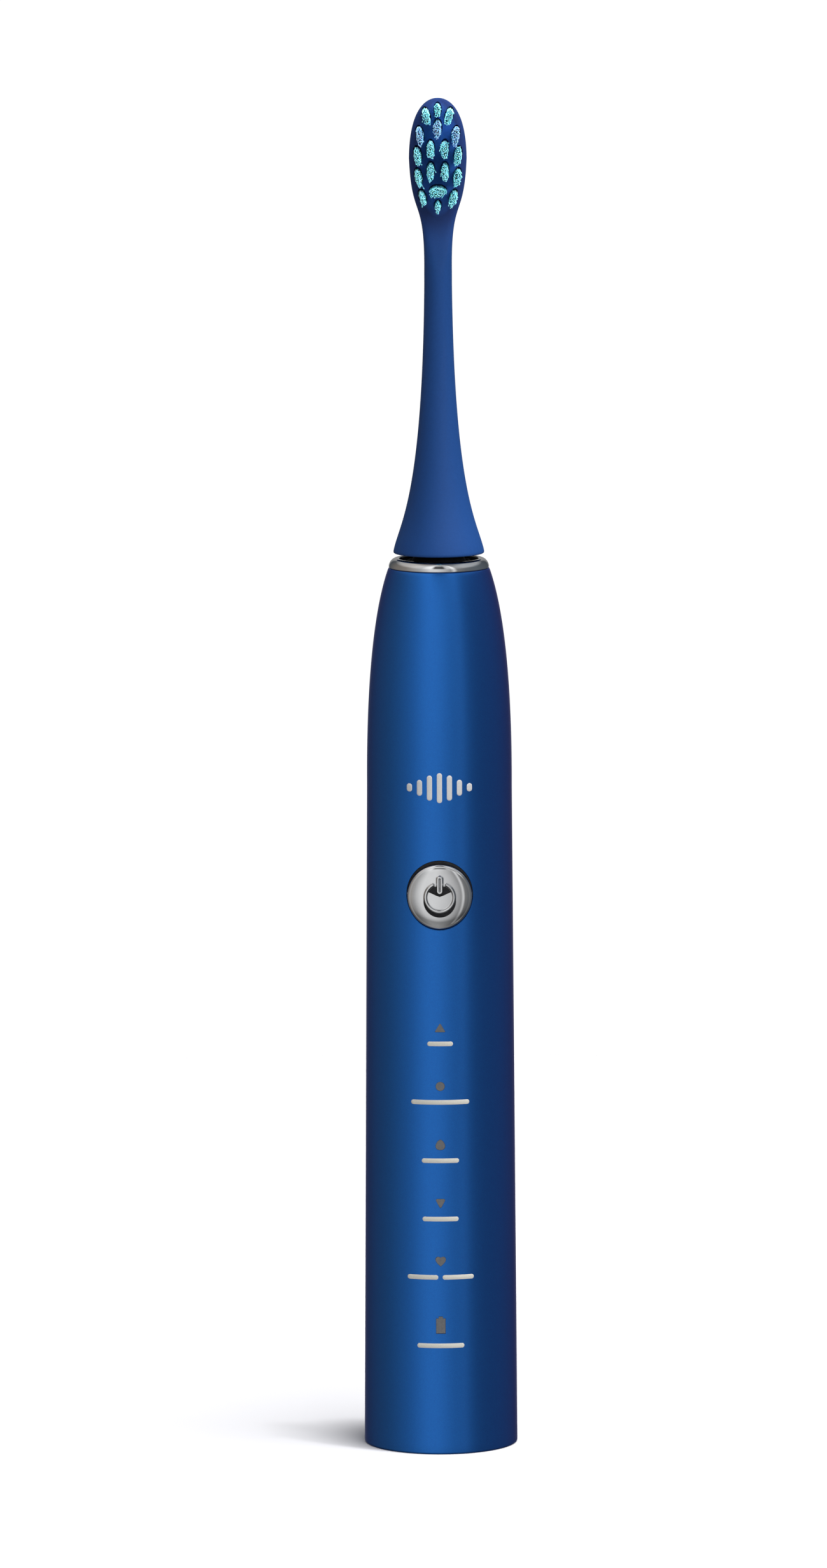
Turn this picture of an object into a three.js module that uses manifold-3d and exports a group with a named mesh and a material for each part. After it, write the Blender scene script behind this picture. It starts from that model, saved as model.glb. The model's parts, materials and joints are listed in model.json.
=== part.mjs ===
// A sonic toothbrush: a round, gently tapered handle that stands on its flat end, and a push-on
// brush head with eighteen tufts. Millimetres, +Z up; the bristles and the power button face -Y.
// The origin is the centre of the handle's bottom rim.
//
// Inside the handle, from the bottom: a plug with the recess for an inductive charging pin, the
// charging coil around it, a chassis that carries the cell and the circuit board, and a motor
// that swings the drive shaft a few degrees each way about the handle's axis.

import * as THREE from "three";
import { mergeVertices } from "three/addons/utils/BufferGeometryUtils.js";
import Module from "manifold-3d";

const wasm = await Module();
wasm.setup();

// ---------------------------------------------------------------- driving dimensions

const HANDLE = { baseR: 14.1, rimRound: 0.4, taperR: 13.27, taperZ: 122, topR: 9.22, topZ: 162.1, wall: 1.55 };
const COLLAR = { z: 162.15, height: 1.7, innerR: 7.25, spigotR: 7.55, spigotLength: 3 };
const HEAD = { z: 164.8, length: 83.1, skirtR: 8.3, neckR: 2.53, plateHalfWidth: 5.26, plateFront: -1.7, plateBack: 3 };
const TUFT = { tipY: -10.4, rootY: -0.5, spread: 1.14, socketGrow: 0.12 };
const SHAFT = { r: 1.75, tipZ: 182, bottomZ: 113.2, flatY: -1.2, flatZ: 171 };
const BUTTON = { z: 103.5, r: 6.12, holeR: 6.3, proud: 0.35, flangeR: 6.9, flangeY: [-9.5, -9], stemY: -8.5 };
const BOARD = { halfWidth: 8.4, front: -5.6, back: -4.6, bottomZ: 18, topZ: 111.2 };
const CELL = { r: 7.05, y: 3.6, bottomZ: 19, length: 49.2 };
const MOTOR = { z: 114.6, length: 30, r: 9.2, wall: 0.6 };
const ROTOR = { z: [122, 138], yokeR: 2.6, magnet: [1.4, 4.6], magnetX: 3.5 };
const RECESS = { r: 4.6, ceilingZ: 10.5 };
const CAP = { bottomZ: 0.4, r: 12.2, skirtR: 10.2, skirtTopZ: 8, grooveZ: [3.6, 5], grooveR: 11.2 };
const BUSH = { r: 3.6, boreR: 1.8, frontZ: [150.5, 158], rearZ: [113.5, 116.2] };

// The mode windows, from the top one down: their pitch, and the lowest one, a battery outline.
const WINDOWS = { topZ: 79.1, pitch: 10.8, chargeZ: 24.1 };
const SCREWS = [[-6.2, 76], [6.2, 76], [-6.2, 90], [6.2, 90]];
const FIT = 0.05; // clearance between pieces that seat on each other

// Tufts: distance from the axis, distance below the head's tip, width, height, and lean in
// degrees away from the tip. Each one off the axis is one of a mirrored pair.
const TUFTS = [
  { x: 0, below: 2, width: 1.2, height: 2.4, lean: 0 },
  { x: 2.05, below: 3, width: 1.3, height: 2.8, lean: 15 },
  { x: 0, below: 5.2, width: 1.45, height: 2.9, lean: 0 },
  { x: 3.25, below: 6.45, width: 1.35, height: 2.9, lean: 9 },
  { x: 1.3, below: 9, width: 1.4, height: 3, lean: 0 },
  { x: 3.65, below: 10.15, width: 1.35, height: 3, lean: 9 },
  { x: 1.3, below: 13, width: 1.4, height: 3, lean: 0 },
  { x: 3.5, below: 14.1, width: 1.3, height: 3, lean: 12 },
  { x: 0, below: 16.6, width: 3, height: 1.7, lean: 0 },
  { x: 2.8, below: 17.8, width: 1.25, height: 2.6, lean: 17 },
  { x: 0, below: 19.4, width: 1.2, height: 1.8, lean: 0 },
];

// ---------------------------------------------------------------- materials

const material = (color, roughness, metalness = 0) => new THREE.MeshStandardMaterial({ color, roughness, metalness });
const M = {
  blueShell: material(0x1d56a0, 0.38, 0.55),
  blueHead: material(0x23509a, 0.5, 0.1),
  chrome: material(0xd4d6d8, 0.12, 1),
  rubber: material(0x0b0b0d, 0.75),
  bristleTeal: material(0x83c4cc, 0.7),
  bristleBlue: material(0x8cbadc, 0.7),
  window: material(0x68686a, 0.4),
  steel: material(0xb9bcc0, 0.3, 1),
  whitePlastic: material(0xe6e6e2, 0.5),
  greyPlastic: material(0x8e9196, 0.55),
  blackPlastic: material(0x1a1b1d, 0.6),
  board: material(0x14522f, 0.45),
  copper: material(0xb4683a, 0.35, 0.9),
  cellSleeve: material(0x2e9c5a, 0.4),
  ferrite: material(0x2b2c2e, 0.6),
  bronze: material(0xa57c3c, 0.4, 0.9),
  silicone: material(0xc9ccd0, 0.6),
};

// ---------------------------------------------------------------- shape helpers

/** A closed geometry as a manifold solid, with its shared vertices merged. */
function solid(geometry) {
  const bare = geometry.index ? geometry.toNonIndexed() : geometry.clone();
  bare.deleteAttribute("normal");
  bare.deleteAttribute("uv");
  const merged = mergeVertices(bare, 1e-4);
  return new wasm.Manifold(
    new wasm.Mesh({
      numProp: 3,
      vertProperties: merged.attributes.position.array,
      triVerts: new Uint32Array(merged.index.array),
    }),
  );
}

/** A manifold solid as a geometry with flat normals. */
function geometryOf(body) {
  const { vertProperties, triVerts } = body.getMesh();
  const shared = new THREE.BufferGeometry();
  shared.setAttribute("position", new THREE.BufferAttribute(vertProperties, 3));
  shared.setIndex(new THREE.BufferAttribute(triVerts, 1));
  const flat = shared.toNonIndexed();
  flat.computeVertexNormals();
  return flat;
}

/** One geometry joined from several. */
const joined = (first, ...others) => geometryOf(others.reduce((a, b) => a.add(solid(b)), solid(first)));

/** One geometry with others cut out of it. */
const cut = (from, ...tools) => geometryOf(tools.reduce((a, b) => a.subtract(solid(b)), solid(from)));

/** A profile of [radius, height] points, closed on itself unless it starts and ends on the axis. */
function profilePoints(profile) {
  const points = profile.map(([r, h]) => new THREE.Vector2(r, h));
  if (THREE.ShapeUtils.area(points) < 0) points.reverse();
  const last = points[points.length - 1];
  if (points[0].x > 0 || last.x > 0) points.push(points[0].clone());
  return points;
}

/** A profile turned about the Y axis. */
const turnedY = (profile, segments) => new THREE.LatheGeometry(profilePoints(profile), segments);

/** A profile turned about the Z axis. */
const turned = (profile, segments) => turnedY(profile, segments).rotateX(Math.PI / 2);

/** A round sleeve about the Z axis. */
const sleeve = (innerR, outerR, z0, z1, segments) =>
  turned([[innerR, z0], [outerR, z0], [outerR, z1], [innerR, z1]], segments);

/** A disc or rod about the Z axis. */
const rod = (r, z0, z1, segments) => turned([[0, z0], [r, z0], [r, z1], [0, z1]], segments);

/** A round rod along Y, centred on x and z. */
const rodY = (r, y0, y1, x, z, segments) =>
  new THREE.CylinderGeometry(r, r, y1 - y0, segments).translate(x, (y0 + y1) / 2, z);

/** A block between two corners. */
const block = ([x0, y0, z0], [x1, y1, z1]) =>
  new THREE.BoxGeometry(x1 - x0, y1 - y0, z1 - z0).translate((x0 + x1) / 2, (y0 + y1) / 2, (z0 + z1) / 2);

/** A shape drawn in x and z, extruded along Y between two depths. */
const slabY = (shape, y0, y1, curveSegments = 6) =>
  new THREE.ExtrudeGeometry(shape, { depth: y1 - y0, bevelEnabled: false, curveSegments })
    .rotateX(Math.PI / 2)
    .translate(0, y1, 0);

/** A polygon whose corners are rounded. */
function roundedPolygon(corners, radius) {
  const at = corners.map(([x, y]) => new THREE.Vector2(x, y));
  const shape = new THREE.Shape();
  at.forEach((corner, i) => {
    const before = at[(i + at.length - 1) % at.length];
    const after = at[(i + 1) % at.length];
    const start = corner.clone().add(before.clone().sub(corner).setLength(radius));
    const end = corner.clone().add(after.clone().sub(corner).setLength(radius));
    if (i === 0) shape.moveTo(start.x, start.y);
    else shape.lineTo(start.x, start.y);
    shape.quadraticCurveTo(corner.x, corner.y, end.x, end.y);
  });
  shape.closePath();
  return shape;
}

/** A named mesh, added to its group and placed in it. */
function add(group, name, geometry, finish, position = [0, 0, 0]) {
  const mesh = new THREE.Mesh(geometry, finish);
  mesh.name = name;
  mesh.position.set(...position);
  group.add(mesh);
  return mesh;
}

function groupAt(parent, x = 0, y = 0, z = 0) {
  const group = new THREE.Group();
  group.position.set(x, y, z);
  parent.add(group);
  return group;
}

const smoothstep = THREE.MathUtils.smoothstep;
const lerp = THREE.MathUtils.lerp;
const bezier = (...points) => new THREE.CubicBezierCurve(...points.map(([r, z]) => new THREE.Vector2(r, z)));

// ---------------------------------------------------------------- handle shell and collar

const shoulder = bezier([HANDLE.taperR, HANDLE.taperZ], [13.35, 143.3], [11.55, 155.6], [HANDLE.topR, HANDLE.topZ]);
const taperRadius = (z) => lerp(HANDLE.baseR, HANDLE.taperR, z / HANDLE.taperZ);

function shellGeometry(windows) {
  const outside = shoulder.getPoints(9).map((p) => [p.x, p.y]);
  const inside = shoulder.getPoints(5).map((p) => [p.x - HANDLE.wall, p.y]).reverse();
  const body = turned(
    [
      [HANDLE.baseR - HANDLE.wall, 0],
      [HANDLE.baseR - HANDLE.rimRound, 0],
      [HANDLE.baseR, HANDLE.rimRound],
      ...outside,
      ...inside,
    ],
    40,
  );
  const buttonHole = rodY(BUTTON.holeR, -18, -6, 0, BUTTON.z, 32);
  const windowHoles = windows.map(({ z, shape }) =>
    slabY(shape, -18, -6, 4).scale(1.1, 1, 1.1).translate(0, 0, z),
  );
  return cut(body, buttonHole, ...windowHoles);
}

function collarGeometry() {
  const { z, height, innerR, spigotR, spigotLength } = COLLAR;
  const crown = new THREE.QuadraticBezierCurve(
    new THREE.Vector2(HANDLE.topR, z + 0.25),
    new THREE.Vector2(HANDLE.topR - 0.15, z + height),
    new THREE.Vector2(innerR + 0.35, z + height),
  );
  return turned(
    [
      [innerR, z - spigotLength],
      [spigotR, z - spigotLength],
      [spigotR, z],
      [HANDLE.topR, z],
      ...crown.getPoints(5).map((p) => [p.x, p.y]),
      [innerR, z + height - 0.35],
    ],
    40,
  );
}

/** The rubber boot round the shaft: a clamped flange, three folds, and a lip that rides the shaft. */
function sealGeometry() {
  return turned(
    [
      [4.2, 160.6],
      [7.0, 160.6],
      [7.0, 163.1],
      [6.5, 163.4],
      [6.1, 163],
      [5.6, 163.6],
      [5.1, 163.2],
      [4.6, 164.1],
      [3.6, 165],
      [2.7, 166.4],
      [2.5, 167.6],
      [SHAFT.r + FIT, 167.6],
      [SHAFT.r + FIT, 165.8],
      [3, 163.6],
      [4.2, 162.4],
    ],
    32,
  );
}

/** The moulded nose that carries the front bush and centres the motor under the shell's shoulder. */
function noseGeometry() {
  return turned(
    [
      [BUSH.r + FIT, 150],
      [5.5, 147.4],
      [8.9, 147.4],
      [9.4, 145],
      [10.6, 145],
      [10.5, 147.6],
      [9.2, 153.8],
      [8, 157.6],
      [6.9, 158.8],
      [6.9, 160.3],
      [4.6, 160.3],
      [BUSH.r + FIT, 158.6],
    ],
    32,
  );
}

// ---------------------------------------------------------------- base plug and charging coil

function capGeometry() {
  const { bottomZ, r, skirtR, skirtTopZ, grooveZ, grooveR } = CAP;
  const cup = RECESS.r + 1.3;
  return turned(
    [
      [0, RECESS.ceilingZ],
      [RECESS.r, RECESS.ceilingZ],
      [RECESS.r, bottomZ + 0.5],
      [RECESS.r + 0.5, bottomZ],
      [r - 0.3, bottomZ],
      [r, bottomZ + 0.3],
      [r, grooveZ[0]],
      [grooveR, grooveZ[0]],
      [grooveR, grooveZ[1]],
      [r, grooveZ[1]],
      [r, skirtTopZ],
      [skirtR, skirtTopZ],
      [skirtR, bottomZ + 1.8],
      [cup, bottomZ + 1.8],
      [cup, RECESS.ceilingZ + 1.3],
      [0, RECESS.ceilingZ + 1.3],
    ],
    32,
  );
}

function bobbinGeometry() {
  const [r, barrelR, flangeR] = [6.1, 6.6, 9.9];
  return turned(
    [
      [r, 2.4],
      [flangeR, 2.4],
      [flangeR, 2.9],
      [barrelR, 2.9],
      [barrelR, 10.2],
      [flangeR, 10.2],
      [flangeR, 10.7],
      [r, 10.7],
    ],
    28,
  );
}

function addBase(handle) {
  const { grooveZ, grooveR } = CAP;
  const ring = new THREE.TorusGeometry(grooveR + 0.63, 0.55, 8, 32);
  add(handle, "base_cap", capGeometry(), M.blueShell);
  add(handle, "base_o_ring", ring, M.rubber, [0, 0, (grooveZ[0] + grooveZ[1]) / 2]);
  add(handle, "coil_bobbin", bobbinGeometry(), M.blackPlastic);
  add(handle, "charging_coil", sleeve(6.65, 9.6, 2.95, 10.15, 28), M.copper);
  add(handle, "ferrite_plate", rod(9.4, 12.1, 13.4, 28), M.ferrite);
}

// ---------------------------------------------------------------- mode windows

/** The outlines of the six windows, each about 1.8 mm across. */
function windowShapes() {
  const circle = new THREE.Shape().absarc(0, 0, 0.82, 0, 2 * Math.PI);
  const drop = new THREE.Shape();
  drop.moveTo(0, 0.95);
  drop.bezierCurveTo(0.45, 0.85, 0.88, 0.2, 0.86, -0.25);
  drop.bezierCurveTo(0.84, -0.8, 0.45, -0.95, 0, -0.95);
  drop.bezierCurveTo(-0.45, -0.95, -0.84, -0.8, -0.86, -0.25);
  drop.bezierCurveTo(-0.88, 0.2, -0.45, 0.85, 0, 0.95);
  const heart = new THREE.Shape();
  heart.moveTo(0, 0.68);
  heart.bezierCurveTo(0.3, 1, 0.94, 0.9, 0.94, 0.35);
  heart.bezierCurveTo(0.94, -0.15, 0.35, -0.6, 0, -0.92);
  heart.bezierCurveTo(-0.35, -0.6, -0.94, -0.15, -0.94, 0.35);
  heart.bezierCurveTo(-0.94, 0.9, -0.3, 1, 0, 0.68);
  const battery = roundedPolygon(
    [[-0.85, -1.55], [0.85, -1.55], [0.85, 1.2], [0.38, 1.2], [0.38, 1.55], [-0.38, 1.55], [-0.38, 1.2], [-0.85, 1.2]],
    0.06,
  );
  return [
    roundedPolygon([[-1, -0.78], [1, -0.78], [0, 0.88]], 0.3),
    circle,
    drop,
    roundedPolygon([[-1, 0.78], [0, -1.1], [1, 0.78]], 0.55),
    heart,
    battery,
  ];
}

const windows = windowShapes().map((shape, i, all) => ({
  shape,
  z: i === all.length - 1 ? WINDOWS.chargeZ : WINDOWS.topZ - i * WINDOWS.pitch,
}));

/** One clear moulding: a bar behind the wall, with a boss that fills each window. */
function lightGuideGeometry() {
  const bar = block([-2.6, -9.9, WINDOWS.chargeZ - 3.6], [2.6, -8.7, WINDOWS.topZ + 3]);
  const bosses = windows.map(({ z, shape }) => slabY(shape, 0.03 - taperRadius(z), -9.5, 4).translate(0, 0, z));
  return joined(bar, ...bosses);
}

/** The dark bar that keeps each lamp's light to its own window. */
function baffleGeometry() {
  const bar = block([-3.4, -8.6, WINDOWS.chargeZ - 3.6], [3.4, -6.6, WINDOWS.topZ + 3]);
  return cut(bar, ...windows.map(({ z }) => block([-1.3, -9, z - 1.8], [1.3, -6, z + 1.8])));
}

// ---------------------------------------------------------------- electronics

function boardGeometry() {
  const { halfWidth, front, back, bottomZ, topZ } = BOARD;
  const lamps = windows.map(({ z }) => block([-0.8, front - 0.7, z - 0.8], [0.8, front + 0.1, z + 0.8]));
  const controller = block([4.2, front - 0.9, 46], [7.8, front + 0.1, 52]);
  const charger = block([4.4, front - 0.8, 30], [7.4, front + 0.1, 34]);
  const driver = block([-7.8, front - 0.9, 56], [-4.2, front + 0.1, 60]);
  const capacitor = rodY(1.5, front - 2.2, front + 0.1, -6, 40, 12);
  const plate = block([-halfWidth, front, bottomZ], [halfWidth, back, topZ]);
  const board = joined(plate, ...lamps, controller, charger, driver, capacitor);
  return cut(board, ...SCREWS.map(([x, z]) => rodY(0.95, front - 1, back + 1, x, z, 12)));
}

function chassisGeometry() {
  const seatZ = BOARD.topZ + 0.5;
  const plate = block([-9.4, -4.4, 14.4], [9.4, -3.7, seatZ]);
  const rails = [-1, 1].map((side) => block([side * 9.1 - 0.4, -6.4, 14.4], [side * 9.1 + 0.4, 2.4, seatZ]));
  const foot = rod(12.1, 14.2, 16.2, 32);
  const shelf = block([-8.8, -4, 70.6], [8.8, 7.6, 72]);
  const motorSeat = rod(11.3, seatZ - 0.1, seatZ + 1.3, 32);
  const motorCup = sleeve(MOTOR.r + 0.2, 11.3, seatZ + 1, MOTOR.z + 8, 32);
  const bosses = SCREWS.map(([x, z]) => rodY(1.9, -4, -0.6, x, z, 12));
  const frame = joined(plate, ...rails, foot, shelf, motorSeat, motorCup, ...bosses);
  return cut(
    frame,
    ...SCREWS.map(([x, z]) => rodY(0.85, -6, 0, x, z, 12)),
    block([-3, -5, 17.4], [3, -3, 19.4]), // window for the lower battery tab
    block([-3, -5, 67.8], [3, -3, 69.8]), // window for the upper battery tab
    block([-8.5, -7, 17.5], [8.5, -4.5, BOARD.topZ + 0.2]), // the board's seat
    rod(3, seatZ - 1, seatZ + 2, 16), // hole for the motor's leads
  );
}

function cellGeometry() {
  const { r, length } = CELL;
  return turned(
    [
      [0, 0],
      [r - 0.6, 0],
      [r, 0.5],
      [r, length - 1.6],
      [r - 0.7, length - 0.9],
      [2.6, length - 0.9],
      [2.6, length],
      [0, length],
    ],
    28,
  );
}

function switchGeometry() {
  const { front } = BOARD;
  const body = block([-3, front - 1.6, -3], [3, front - FIT, 3]);
  return cut(body, rodY(1.75, front - 2, front + 1, 0, 0, 16));
}

/** The silicone cover over the switch: a flat top on a round skirt that stands on the board. */
function bootGeometry() {
  const foot = BOARD.front - FIT;
  return turnedY([[0, -8.4], [7.3, -8.4], [7.3, foot], [6.7, foot], [6.7, -8], [0, -8]], 28);
}

function screwGeometry() {
  const under = BOARD.front - FIT;
  const blank = joined(rodY(1.4, under - 0.8, under, 0, 0, 14), rodY(0.75, under - 0.2, -1.2, 0, 0, 12));
  const slots = [0, Math.PI / 2].map((turn) =>
    block([-0.9, under - 1, -0.15], [0.9, under - 0.4, 0.15]).rotateY(turn),
  );
  return cut(blank, ...slots);
}

function addElectronics(handle) {
  const { y, r, bottomZ, length } = CELL;
  const strip = (z0) => block([-2, -4.5, z0], [2, y + 2.6, z0 + 0.25]);
  add(handle, "chassis", chassisGeometry(), M.whitePlastic);
  add(handle, "circuit_board", boardGeometry(), M.board);
  add(handle, "light_guide", lightGuideGeometry(), M.window);
  add(handle, "light_baffle", baffleGeometry(), M.blackPlastic);
  add(handle, "battery_cell", cellGeometry(), M.cellSleeve, [0, y, bottomZ]);
  add(handle, "battery_tab_lower", strip(bottomZ - 0.4), M.steel);
  add(handle, "battery_tab_upper", strip(bottomZ + length + 0.15), M.steel);
  add(handle, "battery_pad", block([-5, y - 5, 16.3], [5, y + 5, 18.4]), M.rubber);
  SCREWS.forEach(([x, z], i) => add(handle, `board_screw_${i + 1}`, screwGeometry(), M.steel, [x, 0, z]));
}

// ---------------------------------------------------------------- power button

/** The raised power symbol: an open ring and a bar, drawn about the button's centre. */
function symbolShapes() {
  const gap = THREE.MathUtils.degToRad(26);
  const [innerR, outerR] = [2.2, 2.75];
  const [start, end] = [Math.PI / 2 + gap, Math.PI / 2 - gap + 2 * Math.PI];
  const ring = new THREE.Shape();
  ring.absarc(0, -0.1, outerR, start, end, false);
  ring.absarc(0, -0.1, innerR, end, start, true);
  ring.closePath();
  const bar = roundedPolygon([[-0.4, 0.5], [0.4, 0.5], [0.4, 3.8], [-0.4, 3.8]], 0.35);
  return [ring, bar];
}

/** Wraps what lies in front of the flange round the handle, so that it follows the shell. */
function wrapped(geometry) {
  const shellR = taperRadius(BUTTON.z);
  const { position } = geometry.attributes;
  for (let i = 0; i < position.count; i++) {
    const [x, y] = [position.getX(i), position.getY(i)];
    if (y < BUTTON.flangeY[0] - 0.1) position.setY(i, y + shellR - Math.sqrt(shellR ** 2 - x ** 2));
  }
  return geometry;
}

function buttonGeometry() {
  const { r, proud, flangeR, flangeY, stemY } = BUTTON;
  const faceY = -taperRadius(BUTTON.z) - proud;
  const edge = new THREE.QuadraticBezierCurve(
    new THREE.Vector2(r - 0.7, faceY),
    new THREE.Vector2(r, faceY),
    new THREE.Vector2(r, faceY + 0.7),
  );
  const body = turnedY(
    [
      [0, faceY],
      [1.8, faceY],
      [3.6, faceY],
      ...edge.getPoints(4).map((p) => [p.x, p.y]),
      [r, flangeY[0]],
      [flangeR, flangeY[0]],
      [flangeR, flangeY[1]],
      [1.5, flangeY[1]],
      [1.5, stemY],
      [0, stemY],
    ],
    32,
  );
  const symbol = symbolShapes().map((shape) => wrapped(slabY(shape, faceY - 0.2, faceY + 0.6, 10)));
  return joined(wrapped(body), ...symbol);
}

function addSwitch(handle) {
  const site = groupAt(handle, 0, 0, BUTTON.z);
  const { front } = BOARD;
  add(site, "tact_switch", switchGeometry(), M.blackPlastic);
  add(site, "switch_plunger", rodY(1.6, front - 2.3, front - 0.6, 0, 0, 16), M.greyPlastic);
  add(site, "button_boot", bootGeometry(), M.silicone);
  add(site, "power_button", buttonGeometry(), M.chrome);
}

// ---------------------------------------------------------------- motor

/** A winding round one pole: a rectangular coil with rounded corners. */
function windingGeometry() {
  const outline = roundedPolygon([[-3.6, 4.6], [3.6, 4.6], [3.6, 7.6], [-3.6, 7.6]], 0.8);
  const window = roundedPolygon([[-2.7, 5.2], [2.7, 5.2], [2.7, 7.1], [-2.7, 7.1]], 0.1);
  outline.holes.push(window);
  return new THREE.ExtrudeGeometry(outline, { depth: 12, bevelEnabled: false, curveSegments: 3 });
}

/** The laminated core: a bridge across the motor with a pole on each side of the shaft. */
function coreGeometry() {
  const bridge = block([-2.6, -7, 2.4], [2.6, 7, 5.4]);
  const poles = [-1, 1].map((side) => block([-2.6, side * 6.15 - 0.85, 5], [2.6, side * 6.15 + 0.85, 25]));
  return cut(joined(bridge, ...poles), rod(2.4, 0, 8, 16));
}

function addMotor(handle) {
  const motor = groupAt(handle, 0, 0, MOTOR.z);
  const { r, wall, length } = MOTOR;
  const lidHole = BUSH.r + FIT;
  const innerR = r - wall;
  const can = turned([[innerR, 0.2], [r, 0.2], [r, length], [3.9, length], [3.9, length - 0.8], [innerR, length - 0.8]], 32);
  const lid = turned([[lidHole, -1.2], [r, -1.2], [r, 0.1], [innerR - 0.1, 0.1], [innerR - 0.1, 1.4], [lidHole, 1.4]], 32);
  add(motor, "motor_can", can, M.steel);
  add(motor, "motor_end_cap", lid, M.greyPlastic);
  add(motor, "stator_core", coreGeometry(), M.ferrite);
  add(motor, "winding_back", windingGeometry(), M.copper, [0, 0, 9.4]);
  const front = add(motor, "winding_front", windingGeometry(), M.copper, [0, 0, 9.4]);
  front.rotation.z = Math.PI;
  add(motor, "motor_damper", sleeve(r + 0.1, 10.7, 22, 28, 32), M.rubber);
  add(handle, "rear_bush", sleeve(BUSH.boreR, BUSH.r, ...BUSH.rearZ, 24), M.bronze);
  add(handle, "front_bush", sleeve(BUSH.boreR, BUSH.r, ...BUSH.frontZ, 24), M.bronze);
  add(handle, "motor_nose", noseGeometry(), M.whitePlastic);
}

// ---------------------------------------------------------------- drive shaft

function shaftGeometry() {
  const { r, tipZ, bottomZ, flatY, flatZ } = SHAFT;
  const bar = turned([[0, bottomZ], [r - 0.3, bottomZ], [r, bottomZ + 0.3], [r, tipZ - 0.6], [r - 0.6, tipZ], [0, tipZ]], 24);
  return cut(bar, block([-3, -3, flatZ], [3, flatY, tipZ + 1]));
}

function addDrive(root) {
  const drive = groupAt(root);
  add(drive, "drive_shaft", shaftGeometry(), M.steel);
  const { z, yokeR, magnet, magnetX } = ROTOR;
  const [halfWidth, halfDepth] = [magnet[0] / 2, magnet[1] / 2];
  const yoke = sleeve(SHAFT.r + FIT, yokeR, z[0] - 1, z[1] + 1, 24);
  const magnetBlock = block([-halfWidth, -halfDepth, z[0]], [halfWidth, halfDepth, z[1]]);
  add(drive, "rotor_yoke", yoke, M.greyPlastic);
  add(drive, "rotor_magnet_left", magnetBlock, M.steel, [-magnetX, 0, 0]);
  add(drive, "rotor_magnet_right", magnetBlock, M.steel, [magnetX, 0, 0]);
}

// ---------------------------------------------------------------- brush head

const headTip = HEAD.z + HEAD.length;

/** The head's outline seen from the front, as half-widths up its length. */
function headOutline() {
  const { z, skirtR, neckR, plateHalfWidth } = HEAD;
  const hem = bezier([skirtR - 0.3, z], [skirtR - 0.1, z], [skirtR, z + 0.1], [skirtR, z + 0.35]);
  const neck = bezier([skirtR, z + 0.35], [7.26, z + 5.5], [2.94, z + 9.9], [neckR, z + 49.2]);
  const flare = bezier([neckR, z + 51.2], [2.35, z + 65.7], [4.79, z + 60.6], [plateHalfWidth, z + 72.2]);
  const tip = bezier([plateHalfWidth, z + 72.2], [5.14, headTip + 0.1], [0.6, headTip], [0, headTip]);
  return [
    ...hem.getPoints(2).slice(0, -1),
    ...neck.getPoints(12),
    ...flare.getPoints(8),
    ...tip.getPoints(8).slice(1),
  ];
}

/** A point on the head's surface, at an angle round the section whose half-width is given. */
function headPoint(halfWidth, z, angle) {
  const along = z - HEAD.z;
  const depth = halfWidth * (1 + 0.08 * smoothstep(along, 26, 48));
  const plate = smoothstep(along, 50, 62);
  const front = lerp(depth, -HEAD.plateFront, plate);
  const back = lerp(depth, HEAD.plateBack, smoothstep(along, 50, 66));
  const rounding = Math.max(0, (z - headTip + 2.6) / 2.6);
  const shrink = Math.sqrt(Math.max(0, 1 - rounding * rounding));
  const [c, s] = [Math.cos(angle), Math.sin(angle)];
  const power = 2 / (s < 0 ? lerp(2, 5, plate) : lerp(2, 2.6, plate));
  const reach = Math.abs(s) ** power;
  const middle = 0.3 * plate;
  const y = s < 0 ? -front * reach : back * reach;
  return [Math.sign(c) * halfWidth * Math.abs(c) ** power, middle + (y - middle) * shrink, z];
}

/** A unit cylinder bent to the head's outline and sections. */
function headBodyGeometry() {
  const outline = headOutline();
  const rows = outline.length - 1;
  const body = new THREE.CylinderGeometry(1, 1, rows, 24, rows).rotateX(Math.PI / 2);
  const { position } = body.attributes;
  for (let i = 0; i < position.count; i++) {
    const [x, y, z] = [position.getX(i), position.getY(i), position.getZ(i)];
    const section = outline[Math.round(z + rows / 2)];
    const onAxis = Math.hypot(x, y) < 0.5;
    position.setXYZ(i, ...headPoint(onAxis ? 0 : section.x, section.y, Math.atan2(y, x)));
    if (onAxis) position.setXY(i, 0, section.x > 0 ? 0 : 0.3);
  }
  return body;
}

/** The space inside the skirt and neck that holds the coupler and clears the rubber boot. */
function headSocketGeometry() {
  const { z, skirtR } = HEAD;
  return turned(
    [
      [0, z - 1],
      [skirtR - 1.1, z - 1],
      [skirtR - 1.2, z],
      [5.5, z + 4.6],
      [4.75, z + 4.6],
      [4.75, z + 6.3],
      [2.75 + FIT, z + 6.3],
      [2.75 + FIT, z + 18.5],
      [0, z + 18.5],
    ],
    24,
  );
}

function tuftShape({ width, height }, grow = 0) {
  return new THREE.Shape().absellipse(0, 0, width / 2 + grow, height / 2 + grow, 0, 2 * Math.PI);
}

/** The tufts one by one: the row each belongs to, its side, and its place in the head. */
const tufts = TUFTS.flatMap((row) => (row.x ? [-1, 1] : [0]).map((side) => ({ ...row, x: side * row.x, side })))
  .map((tuft) => ({ ...tuft, turn: tuft.side * THREE.MathUtils.degToRad(tuft.lean) }));

/** A tuft that spreads a little from its root to its trimmed tip. */
function tuftGeometry(tuft) {
  const bundle = slabY(tuftShape(tuft), TUFT.tipY, TUFT.rootY, 5);
  const { position } = bundle.attributes;
  for (let i = 0; i < position.count; i++) {
    const k = position.getY(i) < HEAD.plateFront ? TUFT.spread : 1;
    position.setXYZ(i, position.getX(i) * k, position.getY(i), position.getZ(i) * k);
  }
  return bundle;
}

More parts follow.
